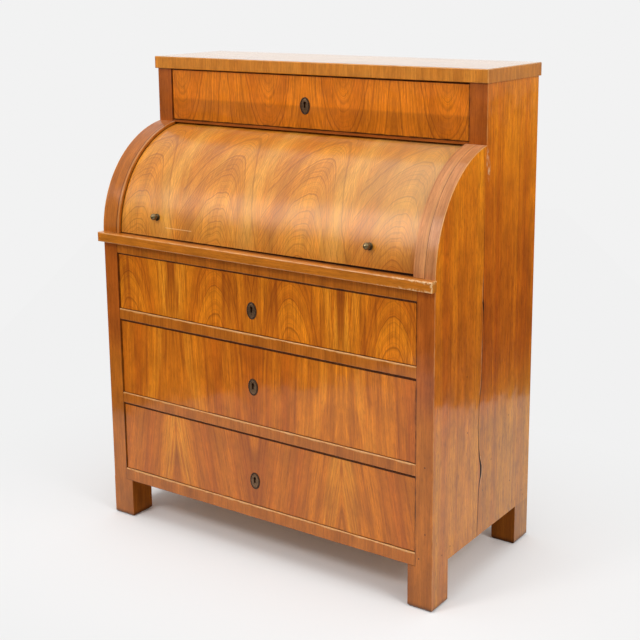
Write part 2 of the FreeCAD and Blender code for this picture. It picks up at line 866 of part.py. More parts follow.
def make_drawers():
    """The top drawer and the three drawers below the writing slide."""
    make_drawer("top_drawer", "upper_front_y", "top_opening_z", "top_drawer_height", "upper_stile_inner",
                "top_keyhole_rise")
    for level in ("upper", "middle", "lower"):
        height = f"{level}_drawer_height"
        make_drawer(f"{level}_drawer", "front_y", f"{level}_opening_z", height, "stile_inner",
                    f"{level}_keyhole_rise")


def make_gallery():
    """Gallery behind the fall: floor, roof and partitions, for two drawer bays and three pigeonholes."""
    floor = box(
        "gallery_floor",
        ("-side_inner", "side_inner"),
        ("gallery_front_y", "back_inner_y"),
        ("gallery_floor_z", "gallery_deck_z"),
    )
    roof = box(
        "gallery_roof",
        ("-gallery_half", "gallery_half"),
        ("gallery_front_y", "back_inner_y"),
        ("gallery_roof_z", "gallery_floor_z + gallery_height"),
    )
    node(group("gallery_shelves", floor, roof))
    pigeonhole = "((2 * small_bay_inner - 4 * gallery_board) / 3)"
    uprights = []
    for name, outer in (
        ("end", "gallery_half"),
        ("bay", "small_bay_inner"),
        ("hole", f"(small_bay_inner - gallery_board - {pigeonhole})"),
    ):
        left = box(
            f"left_{name}_upright",
            (f"-{outer}", f"-{outer} + gallery_board"),
            ("gallery_front_y", "back_inner_y"),
            ("gallery_deck_z", "gallery_roof_z"),
        )
        uprights += [left, mirrored(f"right_{name}_upright", left)]
    node(group("gallery_partitions", *uprights))


def make_small_drawers():
    """The gallery's two small drawers, each with a turned knob."""
    outer = "(small_bay_outer - running_gap)"
    inner = "(small_bay_inner + running_gap)"
    low = "(gallery_deck_z + running_gap)"
    top = "(gallery_roof_z - small_inset / 2)"
    face = "(gallery_front_y + small_inset)"
    back = f"({face} + small_front)"
    rear = "(back_inner_y - small_inset)"
    floor_top = f"({low} + small_floor)"
    front = box("small_front_board", (f"-{outer}", f"-{inner}"), (face, back), (low, top))
    floor = box("small_floor_board", (f"-{outer}", f"-{inner}"), (back, rear), (low, floor_top))
    walls = [
        box(f"small_{name}_wall", x, y, (floor_top, f"{top} - small_inset"))
        for name, x, y in (
            ("outer", (f"-{outer}", f"-{outer} + small_wall"), (back, rear)),
            ("inner", (f"-{inner} - small_wall", f"-{inner}"), (back, rear)),
            ("rear", (f"-{outer} + small_wall", f"-{inner} - small_wall"), (f"{rear} - small_wall", rear)),
        )
    ]
    left = node(group("left_small_drawer", front, floor, *walls))
    node(mirrored("right_small_drawer", left))
    tip = "-(small_knob_neck_height + small_knob_head_height)"
    corners = [
        ("0", "0"),
        ("0", "small_knob_neck"),
        ("-small_knob_neck_height", "small_knob_neck"),
        ("-small_knob_neck_height", "small_knob_radius"),
        (tip, "small_knob_radius"),
        (tip, "0"),
    ]
    knob = turned("left_small_knob", corners)
    place(knob, f"-({outer} + {inner}) / 2", face, f"({low} + {top}) / 2")
    node(knob)
    node(mirrored("right_small_knob", knob))


def check_and_write():
    """Stop if any object failed, then write each sub-part to its own file."""
    doc.recompute()
    failed = [item.Name for item in doc.Objects if {"Invalid", "Error"} & set(item.State)]
    if failed:
        raise RuntimeError("failed objects: " + ", ".join(failed))
    for item in nodes:
        if item.Shape.isNull() or not item.Shape.isValid() or not item.Shape.Solids:
            raise RuntimeError("bad shape: " + item.Label)
    os.makedirs("parts", exist_ok=True)
    for item in nodes:
        item.Shape.exportStep(f"parts/{item.Label}.step")
        size = item.Shape.BoundBox
        print(f"{item.Label}: {len(item.Shape.Solids)} solids, "
              f"{size.XLength:.1f} x {size.YLength:.1f} x {size.ZLength:.1f} mm")
    print(len(nodes), "sub-parts")


fill_sheets()
make_sides()
make_stiles()
make_bands()
make_feet()
make_rails()
make_top()
make_back_and_bottom()
make_runners()
make_slide()
make_fall()
make_pivots()
make_knobs()
make_drawers()
make_gallery()
make_small_drawers()
check_and_write()
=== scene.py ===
# %% [markdown]
# # A cylinder desk in old cherry
# The desk is a plain case with a quarter-cylinder fall, a writing slide and four wide drawers. Its frame
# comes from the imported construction, in metres, and every board of it already has its place and size. This
# lesson gives those boards their wood and polish, and models the small brass things that sit on them.

# %% Load the desk
import bpy
import json
import math
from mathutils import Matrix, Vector


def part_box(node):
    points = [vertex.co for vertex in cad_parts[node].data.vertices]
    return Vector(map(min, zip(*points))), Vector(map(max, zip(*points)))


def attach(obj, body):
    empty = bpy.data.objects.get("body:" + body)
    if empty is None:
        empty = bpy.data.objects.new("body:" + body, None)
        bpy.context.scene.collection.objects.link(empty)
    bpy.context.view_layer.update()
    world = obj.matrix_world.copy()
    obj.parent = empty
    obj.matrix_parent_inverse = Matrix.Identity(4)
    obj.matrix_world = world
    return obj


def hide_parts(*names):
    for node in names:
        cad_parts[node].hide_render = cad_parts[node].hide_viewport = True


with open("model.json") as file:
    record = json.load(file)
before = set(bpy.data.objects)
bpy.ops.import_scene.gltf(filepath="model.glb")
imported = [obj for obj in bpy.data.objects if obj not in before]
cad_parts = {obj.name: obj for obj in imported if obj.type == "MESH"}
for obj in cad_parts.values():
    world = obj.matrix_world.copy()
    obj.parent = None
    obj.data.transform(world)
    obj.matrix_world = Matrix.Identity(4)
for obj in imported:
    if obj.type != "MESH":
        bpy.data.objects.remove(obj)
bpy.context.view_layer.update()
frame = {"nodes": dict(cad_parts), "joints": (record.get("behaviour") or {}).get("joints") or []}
bpy.ops.object.select_all(action="DESELECT")

# %% [markdown]
# ## Small helpers
# Colours are written as the hex values that a colour picker shows, and the shader wants linear light, so
# one function turns one into the other. Every node goes in through one function too: it takes the kind of
# node, what goes into its sockets, and its settings, and hands back the socket that comes out.

# %% Colours and nodes
MATH = "ShaderNodeMath"
VECTOR = "ShaderNodeVectorMath"
NOISE = "ShaderNodeTexNoise"
RANGE = "ShaderNodeMapRange"
MIX = "ShaderNodeMix"
JOIN = "ShaderNodeCombineXYZ"
SPLIT = "ShaderNodeSeparateXYZ"
COLOUR = {"out": 2, "data_type": "RGBA"}
SMOOTH = {"interpolation_type": "SMOOTHSTEP"}
WHITE = "#FFFFFF"
PER_METRE = 1000.0


def linear(hex_colour):
    """An sRGB hex colour as linear red, green, blue and alpha."""
    shares = [int(hex_colour[place:place + 2], 16) / 255 for place in (1, 3, 5)]
    light = [share / 12.92 if share <= 0.04045 else ((share + 0.055) / 1.055) ** 2.4 for share in shares]
    return (*light, 1.0)


def add(tree, kind, inputs, out=0, **settings):
    """Add a node with its settings, link or set its inputs, and return one of its outputs."""
    node = tree.nodes.new(kind)
    for name, value in settings.items():
        setattr(node, name, value)
    for socket, value in inputs.items():
        if isinstance(value, bpy.types.NodeSocket):
            tree.links.new(value, node.inputs[socket])
        else:
            node.inputs[socket].default_value = linear(value) if isinstance(value, str) else value
    return node.outputs[out] if node.outputs else node


def start_material(name):
    """A new material with an empty node tree."""
    material = bpy.data.materials.new(name)
    material.use_nodes = True
    material.node_tree.nodes.clear()
    return material, material.node_tree


def dress(names, material):
    """Give CAD boards a material through their own slot."""
    for name in names:
        board = frame["nodes"][name]
        if not board.material_slots:
            board.data.materials.append(material)
        board.material_slots[0].material = material


print("helpers for", len(frame["nodes"]), "boards")

# %% [markdown]
# ## Where a point lies in the wood
# Wood patterns follow the board, so the materials read Object coordinates, which here are metres in the
# desk's own frame. They are turned to millimetres at once, because rings, pores and scratches are measured
# in millimetres. Wood fibres run one way, so most of its marks are one kind of noise drawn out along the
# grain.

# %% Object place in millimetres
def place_mm(tree):
    """The shaded point in millimetres, as one vector and as its three numbers."""
    place = add(tree, "ShaderNodeTexCoord", {}, out="Object")
    scaled = add(tree, VECTOR, {0: place, "Scale": PER_METRE}, operation="SCALE")
    return scaled, *add(tree, SPLIT, {0: scaled}).node.outputs


def stretched_noise(tree, across, along, wide_mm, long_mm, detail, seed):
    """Noise drawn out along the grain: one cell is wide_mm across and long_mm along."""
    a = add(tree, MATH, {0: across, 1: wide_mm}, operation="DIVIDE")
    b = add(tree, MATH, {0: along, 1: long_mm}, operation="DIVIDE")
    spot = add(tree, JOIN, {0: a, 1: b, 2: seed})
    return add(tree, NOISE, {"Vector": spot, "Scale": 1.0, "Detail": detail, "Roughness": 0.55})


print("one metre is", PER_METRE, "mm in every pattern")

# %% [markdown]
# ## Growth rings
# A crown-cut leaf of veneer is a slice beside the heart of the log. The log tapers, so the slice comes
# nearer to the heart from one end to the other, and each ring leaves an arch on it. With u the distance
# from the leaf's middle and d the slice's distance from the heart, the ring number is sqrt(u^2 + d^2) /
# ring width. In the middle of the leaf the rings close to arches, and at its edges they run almost
# straight.
#
# The foot of a log swells, and a leaf from there cuts the rings like a cone: its arches have straight legs,
# which lean more on one side than on the other. A noise texture could draw stripes, but only a formula like
# these gives arches that stand one inside the other.

# %% Ring numbers
def crown_rings(tree, u, v, start_mm, slope, ring_mm, wander_mm, seed):
    """Ring number and ring radius of a crown-cut leaf, with the wander that a grown tree has."""
    drift = stretched_noise(tree, u, v, 90.0, 230.0, 2.0, seed)
    drift = add(tree, MATH, {0: drift, 1: 0.5}, operation="SUBTRACT")
    side = add(tree, MATH, {0: drift, 1: wander_mm, 2: u}, operation="MULTIPLY_ADD")
    depth = add(tree, MATH, {0: v, 1: slope, 2: start_mm}, operation="MULTIPLY_ADD")
    depth = add(tree, MATH, {0: depth, 1: depth}, operation="MULTIPLY")
    squared = add(tree, MATH, {0: side, 1: side, 2: depth}, operation="MULTIPLY_ADD")
    radius = add(tree, MATH, {0: squared}, operation="SQRT")
    wobble = stretched_noise(tree, u, v, 26.0, 110.0, 2.0, 4.4)
    radius = add(tree, MATH, {0: wobble, 1: wander_mm * 0.16, 2: radius}, operation="MULTIPLY_ADD")
    count = add(tree, MATH, {0: radius, 1: ring_mm}, operation="DIVIDE")
    uneven = add(tree, NOISE, {"W": count, "Scale": 0.31, "Detail": 1.0}, noise_dimensions="1D")
    return add(tree, MATH, {0: uneven, 1: 3.0, 2: count}, operation="MULTIPLY_ADD"), radius


def cone_rings(tree, u, v, tip_mm, steepness, skew, ring_mm, wander_mm, seed):
    """Ring number of a leaf from the log's swelling foot: tip_mm rounds the arches, skew leans them."""
    drift = stretched_noise(tree, u, v, 90.0, 190.0, 2.0, seed)
    drift = add(tree, MATH, {0: drift, 1: 0.5}, operation="SUBTRACT")
    side = add(tree, MATH, {0: drift, 1: wander_mm, 2: u}, operation="MULTIPLY_ADD")
    squared = add(tree, MATH, {0: side, 1: side, 2: tip_mm * tip_mm}, operation="MULTIPLY_ADD")
    radius = add(tree, MATH, {0: squared}, operation="SQRT")
    height = add(tree, MATH, {0: radius, 1: steepness, 2: v}, operation="MULTIPLY_ADD")
    height = add(tree, MATH, {0: side, 1: skew, 2: height}, operation="MULTIPLY_ADD")
    wobble = stretched_noise(tree, u, v, 40.0, 120.0, 2.0, seed)
    height = add(tree, MATH, {0: wobble, 1: wander_mm, 2: height}, operation="MULTIPLY_ADD")
    count = add(tree, MATH, {0: height, 1: ring_mm}, operation="DIVIDE")
    uneven = add(tree, NOISE, {"W": count, "Scale": 0.45, "Detail": 1.0}, noise_dimensions="1D")
    return add(tree, MATH, {0: uneven, 1: 1.4, 2: count}, operation="MULTIPLY_ADD")


def straight_rings(tree, across, along, ring_mm, seed):
    """Ring number of straight grain: years side by side that bend a little."""
    bend = stretched_noise(tree, across, along, 70.0, 600.0, 2.0, seed)
    side = add(tree, MATH, {0: bend, 1: 40.0, 2: across}, operation="MULTIPLY_ADD")
    return add(tree, MATH, {0: side, 1: ring_mm}, operation="DIVIDE")


print("three ways to cut a log: crown, cone and straight")

# %% [markdown]
# ## Late wood
# A ring starts pale and ends in a dark line of late wood. Some years leave a strong line and some a faint
# one, so the strength of each line is noise read at its whole ring number. A plain sine would make every
# year alike and look printed.

# %% Ring lines
def ring_lines(tree, count):
    """Dark late wood at the end of each ring, strong in some years and faint in others."""
    part = add(tree, MATH, {0: count}, operation="FRACT")
    rise = add(tree, RANGE, {0: part, 1: 0.54, 2: 0.88}, interpolation_type="SMOOTHERSTEP")
    fall = add(tree, RANGE, {0: part, 1: 0.90, 2: 1.0, 3: 1.0, 4: 0.0}, **SMOOTH)
    year = add(tree, MATH, {0: count}, operation="FLOOR")
    strength = add(tree, NOISE, {"W": year, "Scale": 0.83, "Detail": 0.0}, noise_dimensions="1D")
    strength = add(tree, RANGE, {0: strength, 1: 0.36, 2: 0.68, 3: 0.22, 4: 1.0})
    line = add(tree, MATH, {0: rise, 1: fall}, operation="MULTIPLY")
    return add(tree, MATH, {0: line, 1: strength}, operation="MULTIPLY")


print("late wood fills the last part of each ring")

# %% [markdown]
# ## Cherry wood
# Old cherry is golden to red brown. Its colour comes from bands of years, from darker streaks of sap, from
# the ring lines, from short dark flecks and from fine fibres. Where the fibres lie at a slant the wood
# glows lighter or darker in patches. The fibres also make the faint relief and the change of gloss that one
# sees along a polished board. Real fibres are finer than the picture can show, so they are drawn 3 mm wide.

# %% Colour, roughness and relief of cherry
def cherry(tree, across, along, count, tones, seed, shares, flames=()):
    """Colour, roughness and relief of cherry.

    Tones are its pale, middle, deep and late wood. Shares say how strongly its ring lines, bands, streaks
    and marks show.
    """
    pale, middle, deep, late = tones
    lines, bands, streaks, marks = shares
    band = add(tree, NOISE, {"W": count, "Scale": 0.19, "Detail": 2.0}, noise_dimensions="1D")
    band = add(tree, RANGE, {0: band, 1: 0.36, 2: 0.64, 3: 0.5 - bands / 2, 4: 0.5 + bands / 2})
    colour = add(tree, MIX, {0: band, 6: pale, 7: middle}, **COLOUR)
    for wide_mm, long_mm, share in ((17.0, 420.0, streaks), (4.4, 150.0, 0.8 * streaks)):
        streak = stretched_noise(tree, across, along, wide_mm, long_mm, 3.0, seed)
        streak = add(tree, RANGE, {0: streak, 1: 0.48, 2: 0.70, 3: 0.0, 4: share})
        colour = add(tree, MIX, {0: streak, 6: colour, 7: deep}, **COLOUR)
    for share, tone in flames:
        colour = add(tree, MIX, {0: share, 6: colour, 7: tone}, **COLOUR)
    for times, share in ((1.0, lines), (2.7, 0.55 * lines)):
        part = add(tree, MATH, {0: count, 1: times}, operation="MULTIPLY")
        line = add(tree, MATH, {0: ring_lines(tree, part), 1: share}, operation="MULTIPLY")
        colour = add(tree, MIX, {0: line, 6: colour, 7: late}, **COLOUR)
    for wide_mm, long_mm, share in ((3.4, 19.0, marks), (1.5, 14.0, 0.4)):
        mark = stretched_noise(tree, across, along, wide_mm, long_mm, 3.0, seed + 0.7)
        mark = add(tree, RANGE, {0: mark, 1: 0.52, 2: 0.74, 3: 0.0, 4: share})
        colour = add(tree, MIX, {0: mark, 6: colour, 7: late}, **COLOUR)
    fibre = stretched_noise(tree, across, along, 3.2, 90.0, 3.0, seed)
    fine = add(tree, RANGE, {0: fibre, 1: 0.28, 2: 0.72, 3: 0.85, 4: 1.17})
    glow = stretched_noise(tree, across, along, 34.0, 80.0, 3.0, seed)
    glow = add(tree, RANGE, {0: glow, 1: 0.3, 2: 0.7, 3: 0.84, 4: 1.16})
    level = add(tree, MATH, {0: fine, 1: glow}, operation="MULTIPLY")
    colour = add(tree, VECTOR, {0: colour, "Scale": level}, operation="SCALE")
    dull = add(tree, RANGE, {0: fibre, 1: 0.3, 2: 0.7, 3: 0.55, 4: 0.42})
    return colour, dull, fibre


print("cherry: bands, streaks, rings, flecks and fibres")

# %% [markdown]
# ## French polish
# The wood was finished with shellac, rubbed on in many thin coats. It leaves the pores just filled, so the
# surface is smooth with a soft sheen, and it lies over the wood like a clear coat. The Principled shader's
# coat stands for it. What shows the eye that a board is polished is the soft reflection that stays still
# while the grain runs under it. Old boards have cupped and swelled a little, so the edge of a reflection
# runs in waves over them. A wide, shallow bump under the coat makes those waves. Gaps and bare wood have no
# coat.

# %% Polish over a wood colour
SHELLAC_IOR = 1.5
COAT = 0.8
SWELLS_PER_MM = 0.009
SWELL_MM = 1.6
GRAIN_MM = 0.08


def polish(material, tree, colour, dull, height, tilt=0.0, bare=None, coat_roughness=0.12, coat=COAT):
    """Finish a wood colour.

    Dull is the wood's roughness, height its fine relief, tilt the board's lean, and bare what has no coat.
    """
    place, *_ = place_mm(tree)
    swell = add(tree, NOISE, {"Vector": place, "Scale": SWELLS_PER_MM, "Detail": 2.0})
    wave = add(tree, "ShaderNodeBump", {"Strength": 1.0, "Distance": SWELL_MM / PER_METRE, "Height": swell})
    lean = add(tree, JOIN, {2: tilt})
    wave = add(tree, VECTOR, {0: wave, 1: lean}, operation="ADD")
    wave = add(tree, VECTOR, {0: wave}, operation="NORMALIZE")
    grain = add(tree, "ShaderNodeBump", {
        "Strength": 0.3, "Distance": GRAIN_MM / PER_METRE, "Height": height, "Normal": wave,
    })
    if bare is not None:
        coat = add(tree, MATH, {0: bare, 1: -coat, 2: coat}, operation="MULTIPLY_ADD")
    shader = add(tree, "ShaderNodeBsdfPrincipled", {
        "Base Color": colour, "Roughness": dull, "Normal": grain,
        "IOR": SHELLAC_IOR, "Specular IOR Level": 0.08,
        "Coat Weight": coat, "Coat Roughness": coat_roughness, "Coat IOR": SHELLAC_IOR, "Coat Normal": wave,
    })
    add(tree, "ShaderNodeOutputMaterial", {"Surface": shader})
    return material


print("shellac coat of", COAT)

# %% [markdown]
# ## Worn edges and dirty joints
# Hands and dusters rub the polish off an edge first, and the bare wood there is pale. Beside a joint the
# duster never gets in, so dirt and old wax stay there and turn dark. Both are marks along a line. A
# straight edge is where two coordinates have their end values, so the distance from it follows from those
# two alone. On the curved parts the distance from the fall's axis is such a coordinate too: "bow" is that
# distance in the quarter above and before the axis. "side" is x without its sign, for left and right alike.

# %% Coordinates of edges
AXIS = Vector(next(joint for joint in frame["joints"] if joint["name"] == "fall_turn")["pos_m"]) * PER_METRE
SHOULDER_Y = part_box("upper_stiles")[0][1] * PER_METRE


def box_mm(node):
    """A board's lowest and highest corner in millimetres."""
    return [Vector(corner) * PER_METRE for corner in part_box(node)]


def coordinates(tree):
    """The place vector, and every coordinate that edges are written in."""
    place, x, y, z = place_mm(tree)
    off_axis = add(tree, VECTOR, {0: place, 1: AXIS}, operation="SUBTRACT")
    flat = add(tree, VECTOR, {0: off_axis, 1: (0.0, 1.0, 1.0)}, operation="MULTIPLY")
    r = add(tree, VECTOR, {0: flat}, out="Value", operation="LENGTH")
    side = add(tree, MATH, {0: x}, operation="ABSOLUTE")
    above = add(tree, MATH, {0: z, 1: AXIS.z}, operation="GREATER_THAN")
    before = add(tree, MATH, {0: y, 1: SHOULDER_Y}, operation="LESS_THAN")
    bow = add(tree, MATH, {0: above, 1: before}, operation="MULTIPLY")
    bow = add(tree, MATH, {0: bow, 1: r}, operation="MULTIPLY")
    return place, {"x": x, "y": y, "z": z, "bow": bow, "side": side}


def facing(tree):
    """Shares that are 1 on faces turned sideways, and on faces turned up or down."""
    normal = add(tree, "ShaderNodeTexCoord", {}, out="Normal")
    size = add(tree, VECTOR, {0: normal}, operation="ABSOLUTE")
    across, _, up = add(tree, SPLIT, {0: size}).node.outputs
    side = add(tree, MATH, {0: across, 1: 0.7}, operation="GREATER_THAN")
    level = add(tree, MATH, {0: up, 1: 0.7}, operation="GREATER_THAN")
    return side, level


print("the fall's axis lies", round(AXIS.z), "mm above the floor")

# %% [markdown]
# ## Marks by distance
# A worn edge comes and goes along its length, so noise sets how far the wear reaches from the line. Nail
# holes and worm holes are round, and for them the distance to the nearest of a few spots is enough.

# %% Lines and spots
def along_lines(tree, place, values, lines, width_mm):
    """1 on the given lines and 0 at width_mm from them, coming and going along each line."""
    nearest = None
    for (first, first_mm), (second, second_mm) in lines:
        spot = add(tree, JOIN, {0: values[first], 1: values[second]})
        gap = add(tree, VECTOR, {0: spot, 1: (first_mm, second_mm, 0.0)}, out="Value", operation="DISTANCE")
        nearest = gap if nearest is None else add(tree, MATH, {0: nearest, 1: gap}, operation="MINIMUM")
    noise = add(tree, NOISE, {"Vector": place, "Scale": 0.04, "Detail": 2.0})
    reach = add(tree, RANGE, {0: noise, 1: 0.38, 2: 0.64, 3: 0.5 * width_mm, 4: width_mm})
    share = add(tree, MATH, {0: nearest, 1: reach}, operation="DIVIDE")
    return add(tree, RANGE, {0: share, 1: 0.3, 2: 1.1, 3: 1.0, 4: 0.0}, **SMOOTH)


def nearest_of(tree, across, along, spots):
    """Distance in millimetres to the nearest of some spots."""
    here = add(tree, JOIN, {0: across, 1: along})
    nearest = None
    for spot in spots:
        gap = add(tree, VECTOR, {0: here, 1: (*spot, 0.0)}, out="Value", operation="DISTANCE")
        nearest = gap if nearest is None else add(tree, MATH, {0: nearest, 1: gap}, operation="MINIMUM")
    return nearest


def holes_at(tree, across, along, spots):
    """Small dark holes, about 4 mm wide."""
    nearest = nearest_of(tree, across, along, spots)
    return add(tree, RANGE, {0: nearest, 1: 1.2, 2: 2.4, 3: 0.9, 4: 0.0}, **SMOOTH)


print("marks ready")

# %% [markdown]
# ## Veneer for the fall
# The fall carries four leaves cut one after the other from the foot of one log and laid side by side the
# same way up, which is called slip matching. So the leaning arch comes back four times, a little changed
# and a little higher each time. On the curved shell the height of the pattern is the length along the arc,
# not the height above the floor.

# %% Leaves of the fall
FALL_RADIUS = AXIS.y - box_mm("cylinder_shell")[0].y
LEAF_MM = 256.0
FIRST_LEAF_X = -506.0
ARCH_IN_LEAF_MM = 138.0
LEAF_SHIFT_MM = -20.0
FALL_TONES = ("#D69030", "#C4761C", "#A65814", "#783A0E")
FALL_SHARES = (0.5, 0.7, 0.3, 0.15)
LEAF_STRIPES = (
    # a darker and a lighter stripe in each leaf: its middle from the arch, half width, share and tone
    (-98.0, 40.0, 0.35, FALL_TONES[2]),
    (76.0, 42.0, 0.45, "#E0A448"),
)


def arc_length(tree, y, z):
    """Millimetres along the fall's curve, up from the level of its axis."""
    rise = add(tree, MATH, {0: z, 1: AXIS.z}, operation="SUBTRACT")
    reach = add(tree, MATH, {0: AXIS.y, 1: y}, operation="SUBTRACT")
    angle = add(tree, MATH, {0: rise, 1: reach}, operation="ARCTAN2")
    return add(tree, MATH, {0: angle, 1: FALL_RADIUS}, operation="MULTIPLY")


def fall_figure(tree, x, along):
    """Ring number on the fall's leaves, and their stripes as shares and tones."""
    shifted = add(tree, MATH, {0: x, 1: FIRST_LEAF_X}, operation="SUBTRACT")
    leaf = add(tree, MATH, {0: shifted, 1: LEAF_MM}, operation="DIVIDE")
    leaf = add(tree, MATH, {0: leaf}, operation="FLOOR")
    inside = add(tree, MATH, {0: shifted, 1: LEAF_MM}, operation="FLOORED_MODULO")
    u = add(tree, MATH, {0: inside, 1: ARCH_IN_LEAF_MM}, operation="SUBTRACT")
    v = add(tree, MATH, {0: leaf, 1: LEAF_SHIFT_MM, 2: along}, operation="MULTIPLY_ADD")
    change = add(tree, MATH, {0: leaf, 1: 0.16, 2: 2.0}, operation="MULTIPLY_ADD")
    count = cone_rings(
        tree, u, v, tip_mm=52.0, steepness=3.0, skew=0.8, ring_mm=15.0, wander_mm=26.0, seed=change,
    )
    stripes = []
    for middle, reach, most, tone in LEAF_STRIPES:
        off = add(tree, MATH, {0: u, 1: middle}, operation="SUBTRACT")
        off = add(tree, MATH, {0: off}, operation="ABSOLUTE")
        share = add(tree, RANGE, {0: off, 1: 0.0, 2: reach, 3: most, 4: 0.0}, **SMOOTH)
        stripes.append((share, tone))
    return count, stripes


print("the fall's leaves are", LEAF_MM, "mm wide, on a radius of", round(FALL_RADIUS, 1), "mm")

# %% [markdown]
# ## Age of the fall
# Light and hands have changed the veneer: low on the right it has kept its red, and higher up there it has
# faded, with a paler, greyer tone that is also a painted sheen. A pale scratch crosses the lower left.
# A painted shadow, a dark strip without coat, runs along the fall's foot and widens to the right, and
# another stands at its left end by the band. Each is a share by place that mixes one more tone into
# the wood.

# %% Fall veneer
FALL_END = box_mm("left_arc_band")[1].x
# Dark brown for dirt, dark joints and holes, and for painted shade in gaps.
DIRT_AND_SHADE = "#1E0C04"
FALL_AGE_AND_SHEEN = (
    # tone; x where it starts, x where it is full, its most; along the arc from, to, first and last share
    ("#8E4212", (240.0, 440.0, 0.4), (10.0, 120.0, 1.0, 0.0)),
    # the paler, greyer tone is faded wood and a painted sheen
    ("#C3AA79", (120.0, 380.0, 0.3), (60.0, 180.0, 0.0, 1.0)),
)
SCRATCH = "#F2CC96"
SCRATCH_ALONG, SCRATCH_MIDDLE, SCRATCH_HALF = 34.0, -245.0, 43.0


def age_and_sheen_of_fall(tree, x, along, colour):
    """Red low on the right, faded wood with a painted sheen above it, and the scratch."""
    for tone, (start, full, most), (low, high, first, last) in FALL_AGE_AND_SHEEN:
        share = add(tree, RANGE, {0: x, 1: start, 2: full, 3: 0.0, 4: most})
        by_height = add(tree, RANGE, {0: along, 1: low, 2: high, 3: first, 4: last})
        share = add(tree, MATH, {0: share, 1: by_height}, operation="MULTIPLY")
        colour = add(tree, MIX, {0: share, 6: colour, 7: tone}, **COLOUR)
    on_line = add(tree, MATH, {0: along, 1: SCRATCH_ALONG, 2: 0.8}, operation="COMPARE")
    on_stretch = add(tree, MATH, {0: x, 1: SCRATCH_MIDDLE, 2: SCRATCH_HALF}, operation="COMPARE")
    scratch = add(tree, MATH, {0: on_line, 1: on_stretch}, operation="MULTIPLY")
    scratch = add(tree, MATH, {0: scratch, 1: 0.5}, operation="MULTIPLY")
    return add(tree, MIX, {0: scratch, 6: colour, 7: SCRATCH}, **COLOUR)


def make_fall_veneer():
    """The material of the fall."""
    # Sliced cherry, French polished: golden arches under a sheen that handling has dulled.
    material, tree = start_material("fall_cherry_veneer_french_polished")
    _, x, y, z = place_mm(tree)
    along = arc_length(tree, y, z)
    count, stripes = fall_figure(tree, x, along)
    colour, dull, fibre = cherry(tree, x, along, count, FALL_TONES, 1.0, FALL_SHARES, stripes)
    colour = age_and_sheen_of_fall(tree, x, along, colour)
    # Painted shadow: a dark strip without coat along the foot, wider to the right, and one at the left end.
    gap_shade_reach = add(tree, RANGE, {0: x, 1: -440.0, 2: 440.0, 3: 7.2, 4: 10.6})
    foot = add(tree, MATH, {0: along, 1: gap_shade_reach}, operation="LESS_THAN")
    end = add(tree, RANGE, {0: x, 1: FALL_END + 1.6, 2: FALL_END + 3.4, 3: 0.9, 4: 0.0})
    gap = add(tree, MATH, {0: foot, 1: end}, operation="MAXIMUM")
    colour = add(tree, MIX, {0: gap, 6: colour, 7: DIRT_AND_SHADE}, **COLOUR)
    return polish(material, tree, colour, dull, fibre, bare=gap, coat_roughness=0.28)


dress(["cylinder_shell"], make_fall_veneer())
print("fall veneered")

# %% [markdown]
# ## Veneer for the drawer fronts
# The drawer leaves are book matched: every second leaf is turned over like a page, so the figure mirrors at
# each seam. Pingpong does that folding. One seam lies behind the keyholes. The top drawer's leaves hang
# upside down and show arches, the upper drawer's stand upright, and further down the log the grain is plain
# and only leans, so it makes a V at one seam and its mirror at the next. A golden flame with a dark vein
# behind it follows one ring of each leaf. Two drawers could share a material, but then the figure would
# repeat.

# %% Figures of the drawers
DRAWER_LEAF_MM = 258.0
SEAM_MM = -12.0
ARCH_MM = 116.0
DRAWER_TONES = ("#D67C12", "#B45C0A", "#8C4208", "#622A06")
GOLD, DARK_VEIN = "#E08E20", "#7A3A08"
FLAME_CONE = (84.0, -0.22, 34.0)
DRAWER_FIGURES = {
    # level: ring width, lean, seed; for arches the distance from the heart at the drawer's foot, their slope
    # and wander, or None for plain grain; shares; radius and strength of the flame; how light the lower and
    # the upper part are, a painted reflection where they differ; width of the painted shadow above it, left
    # and right
    "top": (9.0, 0.0, 21.0, (66.0, -0.36, 30.0), (0.45, 0.5, 0.4, 0.2),
            (230.0, 0.0), (1.02, 1.37), (0.6, 2.6)),
    "upper": (4.4, 0.0, 31.0, (58.0, 0.21, 24.0), (0.5, 0.9, 0.7, 0.2),
              (158.0, 0.9), (1.09, 1.09), (0.6, 2.2)),
    "middle": (15.0, 0.05, 41.0, None, (0.22, 1.0, 0.7, 0.2), (118.0, 0.45), (1.09, 1.09), (2.4, 3.4)),
    "lower": (17.0, 0.17, 51.0, None, (0.15, 0.8, 0.55, 0.2), (151.0, 0.7), (0.99, 0.99), (2.4, 3.4)),
}


def drawer_flames(tree, signed, broken, flame_mm, most):
    """A golden flame, the dark vein behind it, and a dark edge on the leaf's other half."""
    flames = []
    for rise, fall, share, tone in (
        ((flame_mm - 40.0, flame_mm - 14.0), (flame_mm - 5.0, flame_mm + 1.0), most, GOLD),
        ((flame_mm - 3.0, flame_mm + 3.0), (900.0, 901.0), 0.65 * most, DARK_VEIN),
        ((-901.0, -900.0), (-150.0, -110.0), 0.5, DARK_VEIN),
    ):
        start = add(tree, RANGE, {0: signed, 1: rise[0], 2: rise[1]}, **SMOOTH)
        end = add(tree, RANGE, {0: signed, 1: fall[0], 2: fall[1], 3: share, 4: 0.0}, **SMOOTH)
        share = add(tree, MATH, {0: start, 1: end}, operation="MULTIPLY")
        flames.append((add(tree, MATH, {0: share, 1: broken}, operation="MULTIPLY"), tone))
    return flames


print("figures for", ", ".join(DRAWER_FIGURES))

# %% [markdown]
# ## Gaps round a drawer
# The gaps round a drawer are painted dark as shade: a painted shadow along the top of its front, wider to
# one side, dark lines at its ends and foot, and dark edge faces, which carry no polish and are also brown
# with dirt. The wood that shows through the keyhole is painted dark as shade too.

# %% Drawer veneer
KEYHOLE_RISE = 7.0
KEYHOLE_SHADE_MM = 8.0


